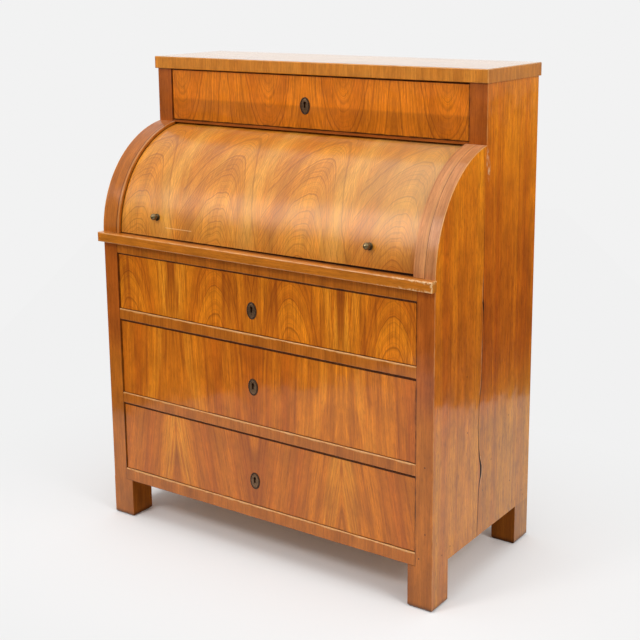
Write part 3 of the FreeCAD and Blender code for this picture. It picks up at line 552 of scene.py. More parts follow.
def drawer_dirt_and_gap_shade(tree, place, values, level, gap_shadow_mm):
    """Share of dirt and painted shade: ends, gap above, edges and keyhole of a drawer front."""
    low, high = box_mm(level + "_drawer_front")
    x, z = values["x"], values["z"]
    # Dark lines along the front's ends and foot: dirt, and painted shade of the gaps.
    ends = [(("side", high.x), ("y", low.y)), (("z", low.z), ("y", low.y))]
    dirt_and_shade = along_lines(tree, place, values, ends, 3.0)
    # Painted shadow: a dark strip along the top of the front, wider to the right, for the gap above.
    below = add(tree, MATH, {0: high.z, 1: z}, operation="SUBTRACT")
    shadow_width = add(tree, RANGE, {0: x, 1: low.x, 2: high.x, 3: gap_shadow_mm[0], 4: gap_shadow_mm[1]})
    shadow = add(tree, MATH, {0: below, 1: shadow_width}, operation="LESS_THAN")
    dirt_and_shade = add(tree, MATH, {0: dirt_and_shade, 1: shadow}, operation="MAXIMUM")
    # Edge faces darker: dirt on bare wood, and painted shade in the gaps.
    side_share, level_share = facing(tree)
    edge = add(tree, MATH, {0: side_share, 1: level_share}, operation="MAXIMUM")
    dirt_and_shade = add(tree, MIX, {0: edge, 2: dirt_and_shade, 3: 0.6})
    # Painted shade: the wood seen through the keyhole is painted dark.
    plate_low, plate_high = box_mm(level + "_drawer_escutcheon")
    middle = (plate_low + plate_high) / 2
    keyhole = nearest_of(tree, x, z, [(middle.x, middle.z + rise) for rise in (KEYHOLE_RISE, 0.0)])
    keyhole = add(tree, MATH, {0: keyhole, 1: KEYHOLE_SHADE_MM}, operation="LESS_THAN")
    dirt_and_shade = add(tree, MATH, {0: dirt_and_shade, 1: keyhole}, operation="MAXIMUM")
    return add(tree, MATH, {0: dirt_and_shade, 1: 0.92}, operation="MULTIPLY")


def make_drawer_veneer(level, ring_mm, lean, seed, arches, shares, flame, tone_and_reflection, gap_shadow_mm):
    """The material of one drawer front, from its row of figures."""
    # Sliced cherry, French polished: mirrored leaves that glow under a clear, still reflection.
    low, high = box_mm(level + "_drawer_front")
    material, tree = start_material(level + "_drawer_cherry_veneer_french_polished")
    place, values = coordinates(tree)
    x, z = values["x"], values["z"]
    from_seam = add(tree, MATH, {0: x, 1: SEAM_MM}, operation="SUBTRACT")
    folded = add(tree, MATH, {0: from_seam, 1: DRAWER_LEAF_MM}, operation="PINGPONG")
    across = add(tree, MATH, {0: x, 1: 0.08, 2: folded}, operation="MULTIPLY_ADD")
    u = add(tree, MATH, {0: folded, 1: ARCH_MM}, operation="SUBTRACT")
    v = add(tree, MATH, {0: z, 1: low.z}, operation="SUBTRACT")
    across = add(tree, MATH, {0: v, 1: -lean, 2: across}, operation="MULTIPLY_ADD")
    start_mm, slope, wander_mm = arches or FLAME_CONE
    count, radius = crown_rings(tree, u, v, start_mm, slope, ring_mm, wander_mm, seed)
    if not arches:
        count = straight_rings(tree, across, z, ring_mm, seed)
    half = add(tree, MATH, {0: u}, operation="SIGN")
    signed = add(tree, MATH, {0: radius, 1: half}, operation="MULTIPLY")
    broken = stretched_noise(tree, across, z, 7.0, 190.0, 2.0, seed + 3.0)
    broken = add(tree, RANGE, {0: broken, 1: 0.36, 2: 0.62})
    flames = drawer_flames(tree, signed, broken, *flame)
    colour, dull, fibre = cherry(tree, across, z, count, DRAWER_TONES, seed, shares, flames)
    # Painted reflection: the top drawer is darker below a level border; the others are scaled evenly.
    reflection_border = low.z + 0.43 * (high.z - low.z)
    tone_and_reflection_scale = add(tree, RANGE, {0: z, 1: reflection_border - 3.0, 2: reflection_border + 3.0, 3: tone_and_reflection[0], 4: tone_and_reflection[1]})
    colour = add(tree, VECTOR, {0: colour, "Scale": tone_and_reflection_scale}, operation="SCALE")
    dirt_and_shade = drawer_dirt_and_gap_shade(tree, place, values, level, gap_shadow_mm)
    colour = add(tree, MIX, {0: dirt_and_shade, 6: colour, 7: DIRT_AND_SHADE}, **COLOUR)
    return polish(material, tree, colour, dull, fibre, bare=dirt_and_shade)


for level, figure in DRAWER_FIGURES.items():
    dress([level + "_drawer_front"], make_drawer_veneer(level, *figure))
print("drawers veneered:", len(DRAWER_FIGURES))

# %% [markdown]
# ## Plain cherry boards
# Stiles, rails, bands, the top and the lip of the slide are solid cherry or plain straight-grained veneer.
# Their grain runs along the piece or, on the rails, straight up across it. There are fine fibres, a few
# darker years and no arches. The grain that a face shows depends on which way the face looks, so it is
# picked by the normal. A UV map could do that too, but these boards are square to the desk, and the normal
# is simpler.

# %% Plain boards
PLAIN_TONES = ("#B6681A", "#A65A12", "#88440A", "#622C06")
PLAIN_SHARES = (0.15, 0.7, 0.35, 0.12)
PLAIN_RING_MM = 11.0
PALE_EDGE_TONE = "#CF9658"
CHIPPED_WOOD = "#E4C08A"
SUN_AND_REFLECTION_TINT = "#DBF4FF"
CHIPS_FROM_X, CHIPS_FULL_X = 330.0, 470.0


def grain_by_face(tree, values, grain):
    """Across and along the grain, picked from the pairs for the front, side and level faces of a board."""
    side_share, level_share = facing(tree)
    picked = []
    for front, side, level in zip(*grain):
        value = add(tree, MIX, {0: side_share, 2: values[front], 3: values[side]})
        picked.append(add(tree, MIX, {0: level_share, 2: value, 3: values[level]}))
    return picked


def mark_lines(tree, place, values, colour, edges, joints, pale_edge_mm, pale_edge_share):
    """Lay dirt along the joints, and pale wood along the edges: wear, on rails also a painted highlight."""
    for lines, mark, width_mm, most in ((joints, DIRT_AND_SHADE, 2.4, 0.75), (edges, PALE_EDGE_TONE, pale_edge_mm, pale_edge_share)):
        if lines:
            share = along_lines(tree, place, values, lines, width_mm)
            share = add(tree, MATH, {0: share, 1: most}, operation="MULTIPLY")
            colour = add(tree, MIX, {0: share, 6: colour, 7: mark}, **COLOUR)
    return colour


def chip_right_end(tree, place, values, colour, edges):
    """Crumbled pale spots along the edges, towards the right end."""
    chips = along_lines(tree, place, values, edges, 8.0)
    right_end = add(tree, RANGE, {0: values["x"], 1: CHIPS_FROM_X, 2: CHIPS_FULL_X, 3: 0.0, 4: 0.65})
    crumbs = add(tree, NOISE, {"Vector": place, "Scale": 0.16, "Detail": 3.0})
    crumbs = add(tree, RANGE, {0: crumbs, 1: 0.42, 2: 0.54})
    for share in (right_end, crumbs):
        chips = add(tree, MATH, {0: chips, 1: share}, operation="MULTIPLY")
    return add(tree, MIX, {0: chips, 6: colour, 7: CHIPPED_WOOD}, **COLOUR)


def make_board(node, grain, tones, seed, edges, joints, pale_edge_mm=2.6, pale_edge_share=0.7, chipped=False,
               gloss=0.12, coat=COAT, sun_and_reflection=False):
    """The material of a plain board, with its worn edges and dirty joints as pairs of coordinates."""
    # Planed cherry, French polished: quiet grain, framed by pale worn edges and dark joints.
    material, tree = start_material(node + "_cherry_polished")
    place, values = coordinates(tree)
    values["s"] = arc_length(tree, values["y"], values["z"])
    across, along = grain_by_face(tree, values, grain)
    count = straight_rings(tree, across, along, PLAIN_RING_MM, seed)
    colour, dull, fibre = cherry(tree, across, along, count, tones, seed, PLAIN_SHARES)
    colour = mark_lines(tree, place, values, colour, edges, joints, pale_edge_mm, pale_edge_share)
    if chipped:
        colour = chip_right_end(tree, place, values, colour, edges)
    # Upper faces greyed: sun bleaching, and a painted reflection.
    if sun_and_reflection:
        _, level_share = facing(tree)
        tint = add(tree, MIX, {0: level_share, 6: WHITE, 7: SUN_AND_REFLECTION_TINT}, **COLOUR)
        colour = add(tree, VECTOR, {0: colour, 1: tint}, operation="MULTIPLY")
    return polish(material, tree, colour, dull, fibre, coat_roughness=gloss, coat=coat)


print("plain board tones:", ", ".join(PLAIN_TONES))

# %% [markdown]
# ## Rails, bands, top and lip
# Every board gets its own wood: each rail is pale along its upper edge, rubbed by the drawer above and
# with a painted highlight; the right band is rubbed dull all over, with pale tones that also stand for a
# painted sheen; the top is bleached by the sun and greyed on its upper face as a painted reflection; and
# the lip of the slide is chipped at its right end. Grain is written as pairs of coordinates, across and
# along, for front, side and level faces.

# %% Dress the plain boards
UPRIGHT = ("xz", "yz", "xy")
LENGTHWISE = ("zx", "yz", "yx")
CURVED = ("xs", "ys", "xs")
TOP_GRAIN = ("xz", "yz", "yx")
RAIL_TONES = ("#A45618", "#944A10", "#78380A", "#562606")
LIP_TONES = ("#C67A24", "#B46818", "#98500E", "#6C3608")
TOP_TONES = ("#D0842A", "#BE721E", "#A25A14", "#744010")
# Rubbed wood's pale tan tones, which also stand for a painted sheen.
RUBBED_AND_SHEEN_TONES = ("#C28452", "#B87848", "#9C5E34", "#74401E")
# Rails: a wide pale line on the upper edge, wear and a painted highlight.
RAIL_WEAR_AND_HIGHLIGHT = (5.4, 0.95)
BAND_WEAR_MM, TOP_WEAR_MM, LIP_WEAR_MM = 6.0, 3.0, 3.6
BAND_EDGE_MM = 5.0

for index, node in enumerate(("bottom_rail", "lower_drawer_rail", "upper_drawer_rail", "slide_rail")):
    low, high = box_mm(node)
    edges = [(("y", low.y), ("z", high.z))]
    joints = [(("y", low.y), ("z", low.z))]
    seed = 80.0 + 3.7 * index
    dress([node], make_board(node, UPRIGHT, PLAIN_TONES, seed, edges, joints, *RAIL_WEAR_AND_HIGHLIGHT))
for node, tones, line_mm, seed, pale_edge_share, gloss, coat in (
    # tones, x of its dark joint without the sign, seed, share of wear, roughness and weight of the coat
    ("left_arc_band", PLAIN_TONES, 448.0, 97.0, 0.32, 0.12, COAT),
    ("right_arc_band", RUBBED_AND_SHEEN_TONES, 469.0, 100.7, 0.15, 0.3, 0.35),
):
    radius = AXIS.y - box_mm(node)[0].y
    edges = [(("side", line_mm - BAND_EDGE_MM), ("bow", radius))]
    joints = [(("side", line_mm), ("bow", radius))]
    wear = {"pale_edge_mm": BAND_WEAR_MM, "pale_edge_share": pale_edge_share}
    dress([node], make_board(node, CURVED, tones, seed, edges, joints, **wear, gloss=gloss, coat=coat))
low, high = box_mm("top_drawer_rail")
joints = [(("y", low.y), ("z", high.z))]
dress(["top_drawer_rail"], make_board("top_drawer_rail", LENGTHWISE, RAIL_TONES, 107.0, [], joints))
low, high = box_mm("top_board")
edges = [(("y", low.y), ("z", high.z)), (("side", high.x), ("z", high.z)), (("side", high.x), ("y", low.y))]
board = make_board("top_board", TOP_GRAIN, TOP_TONES, 111.0, edges, [], TOP_WEAR_MM, coat=0.88, sun_and_reflection=True)
dress(["top_board"], board)
low, high = box_mm("writing_lip")
edges = [(("y", low.y), ("z", high.z)), (("y", low.y), ("z", low.z)), (("side", high.x), ("z", high.z)),
         (("side", high.x), ("y", low.y))]
board = make_board("writing_lip", LENGTHWISE, LIP_TONES, 117.0, edges, [], LIP_WEAR_MM, 0.6, chipped=True)
dress(["writing_lip"], board)
print("rails, bands, top and lip dressed")

# %% [markdown]
# ## The joint in the sides
# Each side is glued up from two upright boards. The joint between them isn't quite straight, and on the
# right it has opened: it starts as a tone line at the top, becomes a hairline, and gapes in two places
# where the rear board bulges. A float curve holds the joint's path, as depth over height, and a second one
# how far it gapes. A painted texture would do the same, but a curve stays sharp at any size.

# %% Path of the joint
JOINT_PATH = (
    # height, depth of the joint, half its gap, all in mm
    (103, -24, 1.4), (186, -21, 1.6), (234, -17, 2.2), (252, -12, 3.6), (264, -10, 4.6), (285, -13, 4.0),
    (312, -20, 2.4), (381, -26, 1.5), (419, -25, 1.7), (464, -20, 1.8), (505, -15, 1.4), (557, -14, 1.3),
    (620, -13, 1.4), (662, -12, 2.2), (676, -13, 3.6), (690, -15, 1.9), (768, -13, 1.3), (841, -14, 1.0),
    (1186, -20, 0.0),
)


def path_curve(tree, height, column, lowest, highest):
    """One column of the joint's path, as a value in millimetres at a height in millimetres."""
    foot, head = JOINT_PATH[0][0], JOINT_PATH[-1][0]
    share = add(tree, RANGE, {0: height, 1: foot, 2: head})
    curve = add(tree, "ShaderNodeFloatCurve", {"Value": share})
    points = curve.node.mapping.curves[0].points
    spots = [
        ((row[0] - foot) / (head - foot), (row[column] - lowest) / (highest - lowest)) for row in JOINT_PATH
    ]
    points[0].location = spots[0]
    points[-1].location = spots[-1]
    for spot in spots[1:-1]:
        points.new(*spot)
    curve.node.mapping.update()
    return add(tree, RANGE, {0: curve, 3: lowest, 4: highest}, clamp=False)


print("joint with", len(JOINT_PATH), "points")

# %% [markdown]
# ## Wood of the sides
# The front board is golden and the rear one redder. Both are mottled. Towards the top they are lighter
# and more golden: bleached by daylight, and lit from above as painted light. Lower down they are lighter
# and yellower: dusty polish, and a painted reflection of the floor. All this is a gentle change by
# height, so it is laid over the wood as a level and a tint. Stiles and feet carry the same wood on their
# outer faces.

# %% Side wood
FRONT_BOARD_TONES = ("#CC720C", "#B85C06", "#8E4004", "#622803")
REAR_BOARD_TONES = ("#C66808", "#AE5204", "#883C03", "#5C2403")
FRONT_BOARD_SHARES, REAR_BOARD_SHARES = (0.25, 1.0, 0.5, 0.5), (0.25, 1.0, 0.55, 0.5)
SIDE_RING_MM = 9.0
BLEACH_AND_LIGHT_TINT, DUST_AND_SHEEN_TINT = "#E8FFFF", "#CEFFC4"


def two_boards(tree, y, z, seed):
    """Colour, roughness and relief of both boards, the distance behind their joint, the rear one's share."""
    count = straight_rings(tree, y, z, SIDE_RING_MM, seed)
    front, dull, fibre = cherry(tree, y, z, count, FRONT_BOARD_TONES, seed, FRONT_BOARD_SHARES)
    rear, *_ = cherry(tree, y, z, count, REAR_BOARD_TONES, seed + 9.0, REAR_BOARD_SHARES)
    joint = path_curve(tree, z, 1, -30.0, 0.0)
    behind = add(tree, MATH, {0: y, 1: joint}, operation="SUBTRACT")
    rear_share = add(tree, RANGE, {0: behind, 1: -0.8, 2: 0.8})
    redness = add(tree, RANGE, {0: z, 1: 700.0, 2: 1080.0, 3: 1.0, 4: 0.2})
    redness = add(tree, MATH, {0: rear_share, 1: redness}, operation="MULTIPLY")
    colour = add(tree, MIX, {0: redness, 6: front, 7: rear}, **COLOUR)
    return colour, dull, fibre, behind, rear_share


def side_wood(tree, values, seed):
    """Side boards, mottled: bleached with painted light up high, dusty with a painted reflection low down."""
    y, z = values["y"], values["z"]
    colour, dull, fibre, behind, rear_share = two_boards(tree, y, z, seed)
    patch = stretched_noise(tree, y, z, 60.0, 120.0, 2.0, seed + 4.0)
    patch = add(tree, RANGE, {0: patch, 1: 0.35, 2: 0.65, 3: -0.15, 4: 0.15})
    # Painted light from above: lighter and more golden towards the top, and bleached by daylight.
    golden = add(tree, RANGE, {0: z, 1: 640.0, 2: 1120.0, 3: 0.0, 4: 0.75})
    golden = add(tree, MATH, {0: golden, 1: patch}, operation="ADD", use_clamp=True)
    level = add(tree, RANGE, {0: golden, 3: 0.97, 4: 2.05})
    # Lighter and yellower low down: dusty polish, and a painted reflection of the floor.
    dust_and_sheen = add(tree, RANGE, {0: z, 1: 340.0, 2: 560.0, 3: 1.0, 4: 0.0}, **SMOOTH)
    gain = add(tree, RANGE, {0: rear_share, 3: 0.28, 4: 0.6})
    level = add(tree, MATH, {0: dust_and_sheen, 1: gain, 2: level}, operation="MULTIPLY_ADD")
    # Darker towards the floor.
    low_darkening = add(tree, RANGE, {0: z, 1: 40.0, 2: 180.0, 3: 0.93, 4: 1.0})
    level = add(tree, MATH, {0: level, 1: low_darkening}, operation="MULTIPLY")
    colour = add(tree, VECTOR, {0: colour, "Scale": level}, operation="SCALE")
    rear_most = add(tree, RANGE, {0: rear_share, 3: 0.55, 4: 0.9})
    dust_and_sheen = add(tree, MATH, {0: dust_and_sheen, 1: rear_most}, operation="MULTIPLY")
    for share, tone in ((dust_and_sheen, DUST_AND_SHEEN_TINT), (golden, BLEACH_AND_LIGHT_TINT)):
        tint = add(tree, MIX, {0: share, 6: WHITE, 7: tone}, **COLOUR)
        colour = add(tree, VECTOR, {0: colour, 1: tint}, operation="MULTIPLY")
    return colour, dull, fibre, behind, rear_share


print("side wood in two boards")

# %% [markdown]
# ## The opened joint
# Where the joint gapes one looks into the dark. Old filler shows beside it as a pale thread, the bulging
# lip is rubbed pale, and a scrape high up has taken the polish off. Nail holes and worm holes are dark
# dots. The cracks could be cut into the panel, but they are hairlines, and a dark, unpolished and sunken
# line looks the same.

# %% Split, filler, scrape and holes
SIDE_HOLES = (
    # depth and height in mm
    (-87, 522), (132, 363), (-80, 384), (43, 278), (146, 186), (-156, 132), (-194, 125), (1, 213), (214, 136),
    (223, 121),
)
FILLER = "#E6C496"
PALE_LINES = (
    # old filler, then the rubbed lip: distance behind the joint, half width, middle height, half length
    (-2.4, 0.9, 610.0, 150.0),
    (5.2, 1.6, 265.0, 40.0),
)
SCRAPE_FLATTENING = 0.3
SCRAPE_SPOTS = ((-6.0, 306.0), (2.0, 297.0))


def pale_marks(tree, y, z, behind):
    """Share of filler beside the joint, of its rubbed lip and of the scrape near the shoulder."""
    lines = []
    for off, half_wide, middle, half_long in PALE_LINES:
        beside = add(tree, MATH, {0: behind, 1: off, 2: half_wide}, operation="COMPARE")
        stretch = add(tree, MATH, {0: z, 1: middle, 2: half_long}, operation="COMPARE")
        lines.append(add(tree, MATH, {0: beside, 1: stretch}, operation="MULTIPLY"))
    thread = add(tree, MATH, {0: lines[0], 1: lines[1]}, operation="MAXIMUM")
    broken = stretched_noise(tree, y, z, 30.0, 40.0, 2.0, 3.0)
    broken = add(tree, RANGE, {0: broken, 1: 0.42, 2: 0.6, 3: 0.05, 4: 0.4})
    thread = add(tree, MATH, {0: thread, 1: broken}, operation="MULTIPLY")
    flattened = add(tree, MATH, {0: z, 1: SCRAPE_FLATTENING}, operation="MULTIPLY")
    scrape = nearest_of(tree, y, flattened, SCRAPE_SPOTS)
    scrape = add(tree, RANGE, {0: scrape, 1: 2.0, 2: 9.0, 3: 0.7, 4: 0.0})
    ragged = stretched_noise(tree, y, z, 3.0, 14.0, 3.0, 12.0)
    ragged = add(tree, RANGE, {0: ragged, 1: 0.46, 2: 0.6})
    scrape = add(tree, MATH, {0: scrape, 1: ragged}, operation="MULTIPLY")
    return add(tree, MATH, {0: thread, 1: scrape}, operation="MAXIMUM")


def dark_marks(tree, y, z, behind):
    """Share of the open joint and of the holes."""
    width = path_curve(tree, z, 2, 0.0, 5.0)
    off = add(tree, MATH, {0: behind}, operation="ABSOLUTE")
    rough = stretched_noise(tree, y, z, 4.0, 9.0, 2.0, 8.0)
    off = add(tree, MATH, {0: rough, 1: 0.9, 2: off}, operation="MULTIPLY_ADD")
    share = add(tree, MATH, {0: off, 1: width}, operation="DIVIDE")
    crack = add(tree, RANGE, {0: share, 1: 0.8, 2: 1.25, 3: 1.0, 4: 0.0}, **SMOOTH)
    return add(tree, MATH, {0: crack, 1: holes_at(tree, y, z, SIDE_HOLES)}, operation="MAXIMUM")


print("right side with", len(SIDE_HOLES), "holes")

# %% [markdown]
# ## Side panels
# A panel shows its two boards on the outside and plain wood along its curved front edge. On the right that
# edge is rubbed as dull and tan as the band beside it, so it has little coat left, and its pale tones also
# stand for a painted sheen. The rear board leans a hair outwards, and the reflection jumps at the joint
# because of it.

# %% Dress the sides
REAR_BOARD_TILT = -0.008
RIGHT_SEED, LEFT_SEED = 131.0, 149.0


def make_side(node, opened, seed):
    """The material of a side panel, with the opened joint or without."""
    # Planed cherry, French polished: mottled red gold, milky low down with a partly painted floor reflection.
    low, high = box_mm(node)
    material, tree = start_material(node + "_cherry_boards_polished")
    place, values = coordinates(tree)
    x, y, z = (values[name] for name in "xyz")
    colour, dull, fibre, behind, rear_share = side_wood(tree, values, seed)
    along = arc_length(tree, y, z)
    count = straight_rings(tree, x, along, PLAIN_RING_MM, seed)
    edge_tones = RUBBED_AND_SHEEN_TONES if opened else PLAIN_TONES
    edge, *_ = cherry(tree, x, along, count, edge_tones, seed + 5.0, PLAIN_SHARES)
    side_share, _ = facing(tree)
    colour = add(tree, MIX, {0: side_share, 6: edge, 7: colour}, **COLOUR)
    height, bare = fibre, None
    if opened:
        pale = pale_marks(tree, y, z, behind)
        colour = add(tree, MIX, {0: pale, 6: colour, 7: FILLER}, **COLOUR)
        dark = dark_marks(tree, y, z, behind)
        dark = add(tree, MATH, {0: dark, 1: side_share}, operation="MULTIPLY")
        colour = add(tree, MIX, {0: dark, 6: colour, 7: DIRT_AND_SHADE}, **COLOUR)
        height = add(tree, MATH, {0: dark, 1: -4.0, 2: fibre}, operation="MULTIPLY_ADD")
        rubbed = add(tree, RANGE, {0: side_share, 3: 0.6, 4: 0.0})
        bare = add(tree, MATH, {0: dark, 1: rubbed}, operation="ADD")
    outer = max(abs(low.x), abs(high.x))
    bow_edge = [(("side", outer), ("bow", AXIS.y - low.y))]
    colour = mark_lines(tree, place, values, colour, bow_edge, [], 2.4, 0.9)
    tilt = add(tree, MATH, {0: rear_share, 1: REAR_BOARD_TILT}, operation="MULTIPLY")
    return polish(material, tree, colour, dull, height, tilt, bare)


dress(["right_side_panel"], make_side("right_side_panel", True, RIGHT_SEED))
dress(["left_side_panel"], make_side("left_side_panel", False, LEFT_SEED))
print("sides dressed")

# %% [markdown]
# ## Stiles and feet
# Stiles and feet are one wood from top to bottom. In front it is plain, redder high up, darker near the
# floor and darkest in a rim at the very foot. The outer faces carry on the figure of the side. The inner
# faces and the back of the rear feet were never polished: they are dull and reflect nothing, and they are
# darker as painted shade under the case. Towards the back all the wood is darker as painted shade too.

# %% Dress stiles and feet
STILE_SHARES = (0.15, 0.7, 0.35, 0.15)
REDDENED = "#F3DFED"
REAR_FEET_Y = 100.0
LOWER_STILE_INNER, UPPER_STILE_INNER = 449.0, 448.0
STILE_HOLES = ((473.0, 347.0), (459.0, 124.0), (475.0, 187.0))


def stile_front(tree, values, seed):
    """Plain wood for a stile's front, redder high up and darker low down, its roughness and its relief."""
    across, along = grain_by_face(tree, values, UPRIGHT)
    count = straight_rings(tree, across, along, PLAIN_RING_MM, seed)
    front, dull, fibre = cherry(tree, across, along, count, PLAIN_TONES, seed, STILE_SHARES)
    high_up = add(tree, RANGE, {0: values["z"], 1: 430.0, 2: 520.0})
    tint = add(tree, MIX, {0: high_up, 6: WHITE, 7: REDDENED}, **COLOUR)
    front = add(tree, VECTOR, {0: front, 1: tint}, operation="MULTIPLY")
    near_floor = add(tree, RANGE, {0: values["z"], 1: 50.0, 2: 140.0, 3: 0.83, 4: 1.0})
    return add(tree, VECTOR, {0: front, "Scale": near_floor}, operation="SCALE"), dull, fibre


def outer_and_bare(tree, values, half):
    """Shares of a stile's outer faces, and of its faces that were never polished."""
    side_share, _ = facing(tree)
    outside = add(tree, MATH, {0: values["side"], 1: half - 0.5}, operation="GREATER_THAN")
    outside = add(tree, MATH, {0: outside, 1: side_share}, operation="MULTIPLY")
    inside = add(tree, MATH, {0: side_share, 1: outside}, operation="SUBTRACT")
    rear_foot = add(tree, MATH, {0: values["y"], 1: REAR_FEET_Y}, operation="GREATER_THAN")
    rear_foot = add(tree, MATH, {0: rear_foot, 1: outside}, operation="SUBTRACT", use_clamp=True)
    return outside, add(tree, MATH, {0: inside, 1: rear_foot}, operation="MAXIMUM")


def make_stile(node, seed, inner, holes):
    """The material of stiles or feet, with a joint at the inner edge and worm holes where they have them."""
    # Planed cherry, French polished but bare inside: the outer faces shine, and the inner ones are dull.
    low, high = box_mm(node)
    half = max(abs(low.x), high.x)
    material, tree = start_material(node + "_cherry_polished")
    place, values = coordinates(tree)
    x, y, z = (values[name] for name in "xyz")
    front, dull, fibre = stile_front(tree, values, seed)
    outer, *_ = side_wood(tree, values, RIGHT_SEED)
    outside, bare = outer_and_bare(tree, values, half)
    colour = add(tree, MIX, {0: outside, 6: front, 7: outer}, **COLOUR)
    # Unpolished faces, darkened as painted shade under the case.
    unpolished_and_shaded = add(tree, RANGE, {0: bare, 3: 1.0, 4: 0.75})
    colour = add(tree, VECTOR, {0: colour, "Scale": unpolished_and_shaded}, operation="SCALE")
    # A dark rim at the very foot; worm holes join it where there are any.
    dirt_and_shade = add(tree, RANGE, {0: z, 1: 1.0, 2: 15.0, 3: 0.7, 4: 0.0}, **SMOOTH)
    if holes:
        dirt_and_shade = add(tree, MATH, {0: dirt_and_shade, 1: holes_at(tree, x, z, holes)}, operation="MAXIMUM")
    colour = add(tree, MIX, {0: dirt_and_shade, 6: colour, 7: DIRT_AND_SHADE}, **COLOUR)
    # Painted shade: darker towards the back, under the case.
    shade_towards_back = add(tree, RANGE, {0: y, 1: -100.0, 2: 150.0, 3: 1.0, 4: 0.8})
    colour = add(tree, VECTOR, {0: colour, "Scale": shade_towards_back}, operation="SCALE")
    edges = [(("side", half), ("y", low.y))]
    joints = [(("side", inner), ("y", low.y))] if inner else []
    colour = mark_lines(tree, place, values, colour, edges, joints, 2.2, 0.45)
    return polish(material, tree, colour, dull, fibre, bare=bare)


for node, seed, inner, holes in (
    ("left_stile", 60.0, LOWER_STILE_INNER, ()),
    ("right_stile", 60.0, LOWER_STILE_INNER, STILE_HOLES),
    ("upper_stiles", 68.0, UPPER_STILE_INNER, ()),
    ("feet", 60.0, None, ()),
):
    dress([node], make_stile(node, seed, inner, holes))
print("stiles and feet dressed")

# %% [markdown]
# ## Cherry inside
# Behind the fall the writing board, shelves and small drawers are cherry too, less faded because no
# daylight reaches them. They are plain boards with tones of their own, so the same function makes them.

# %% Desk boards
INSIDE_TONES = ("#A8622A", "#985420", "#804218", "#5E2E10")
INSIDE_BOARDS = {
    "writing_board": LENGTHWISE, "gallery_shelves": LENGTHWISE, "gallery_partitions": UPRIGHT,
    "left_small_drawer": UPRIGHT, "right_small_drawer": UPRIGHT,
}
for index, (node, grain) in enumerate(INSIDE_BOARDS.items()):
    dress([node], make_board(node, grain, INSIDE_TONES, 171.0 + 3.1 * index, [], []))
print("inside boards of cherry:", len(INSIDE_BOARDS))

# %% [markdown]
# ## Bare pine
# What wasn't meant to be seen is pine, planed and left bare: pale, dull, with strong straight rings and
# brown stains. The back is five upright boards. Each has its own tone and its own rings, with a dark joint
# between them and a nail near each corner. The boards are one node, so a floored modulo tells them apart.

# %% Back boards
BACK_BOARDS = 5
NAIL_OFF_MIDDLE, NAIL_OFF_END = 58.0, 11.0


def split_back(tree, x, z):
    """The back: x with a jump from board to board, each board's tone, and its dark joints and nails."""
    low, high = box_mm("back_boards")
    wide = (high.x - low.x) / BACK_BOARDS
    from_end = add(tree, MATH, {0: x, 1: low.x}, operation="SUBTRACT")
    inside = add(tree, MATH, {0: from_end, 1: wide}, operation="FLOORED_MODULO")
    number = add(tree, MATH, {0: from_end, 1: inside}, operation="SUBTRACT")
    off_middle = add(tree, MATH, {0: inside, 1: wide / 2}, operation="SUBTRACT")
    off_middle = add(tree, MATH, {0: off_middle}, operation="ABSOLUTE")
    joint = add(tree, RANGE, {0: off_middle, 1: wide / 2 - 3.0, 2: wide / 2 - 0.8, 3: 0.0, 4: 0.9})
    above_foot = add(tree, MATH, {0: z, 1: low.z}, operation="SUBTRACT")
    off_end = add(tree, MATH, {0: above_foot, 1: (high.z - low.z) / 2}, operation="PINGPONG")
    nail = nearest_of(tree, off_middle, off_end, ((NAIL_OFF_MIDDLE, NAIL_OFF_END),))
    nail = add(tree, RANGE, {0: nail, 1: 2.6, 2: 3.4, 3: 0.9, 4: 0.0})
    tone = add(tree, NOISE, {"W": number, "Scale": 0.013, "Detail": 0.0}, noise_dimensions="1D")
    tone = add(tree, RANGE, {0: tone, 1: 0.3, 2: 0.7, 3: 0.8, 4: 1.15})
    jumped = add(tree, MATH, {0: number, 1: 0.37, 2: x}, operation="MULTIPLY_ADD")
    return jumped, tone, add(tree, MATH, {0: joint, 1: nail}, operation="MAXIMUM")


print("back of", BACK_BOARDS, "boards")

# %% [markdown]
# ## Pine boards
# Drawer boxes, runners and the like are all pine, and each gets its own material, with the grain along its
# length. One material for all would run the same rings through everything.

# %% Dress the pine
PINE_DULL, PINE_LIGHT, PINE_LATE = "#BE8C54", "#D0A26C", "#8E5C30"
PINE_STAIN, PINE_GAP = "#845832", "#24180E"
PINE_RING_MM = 6.0


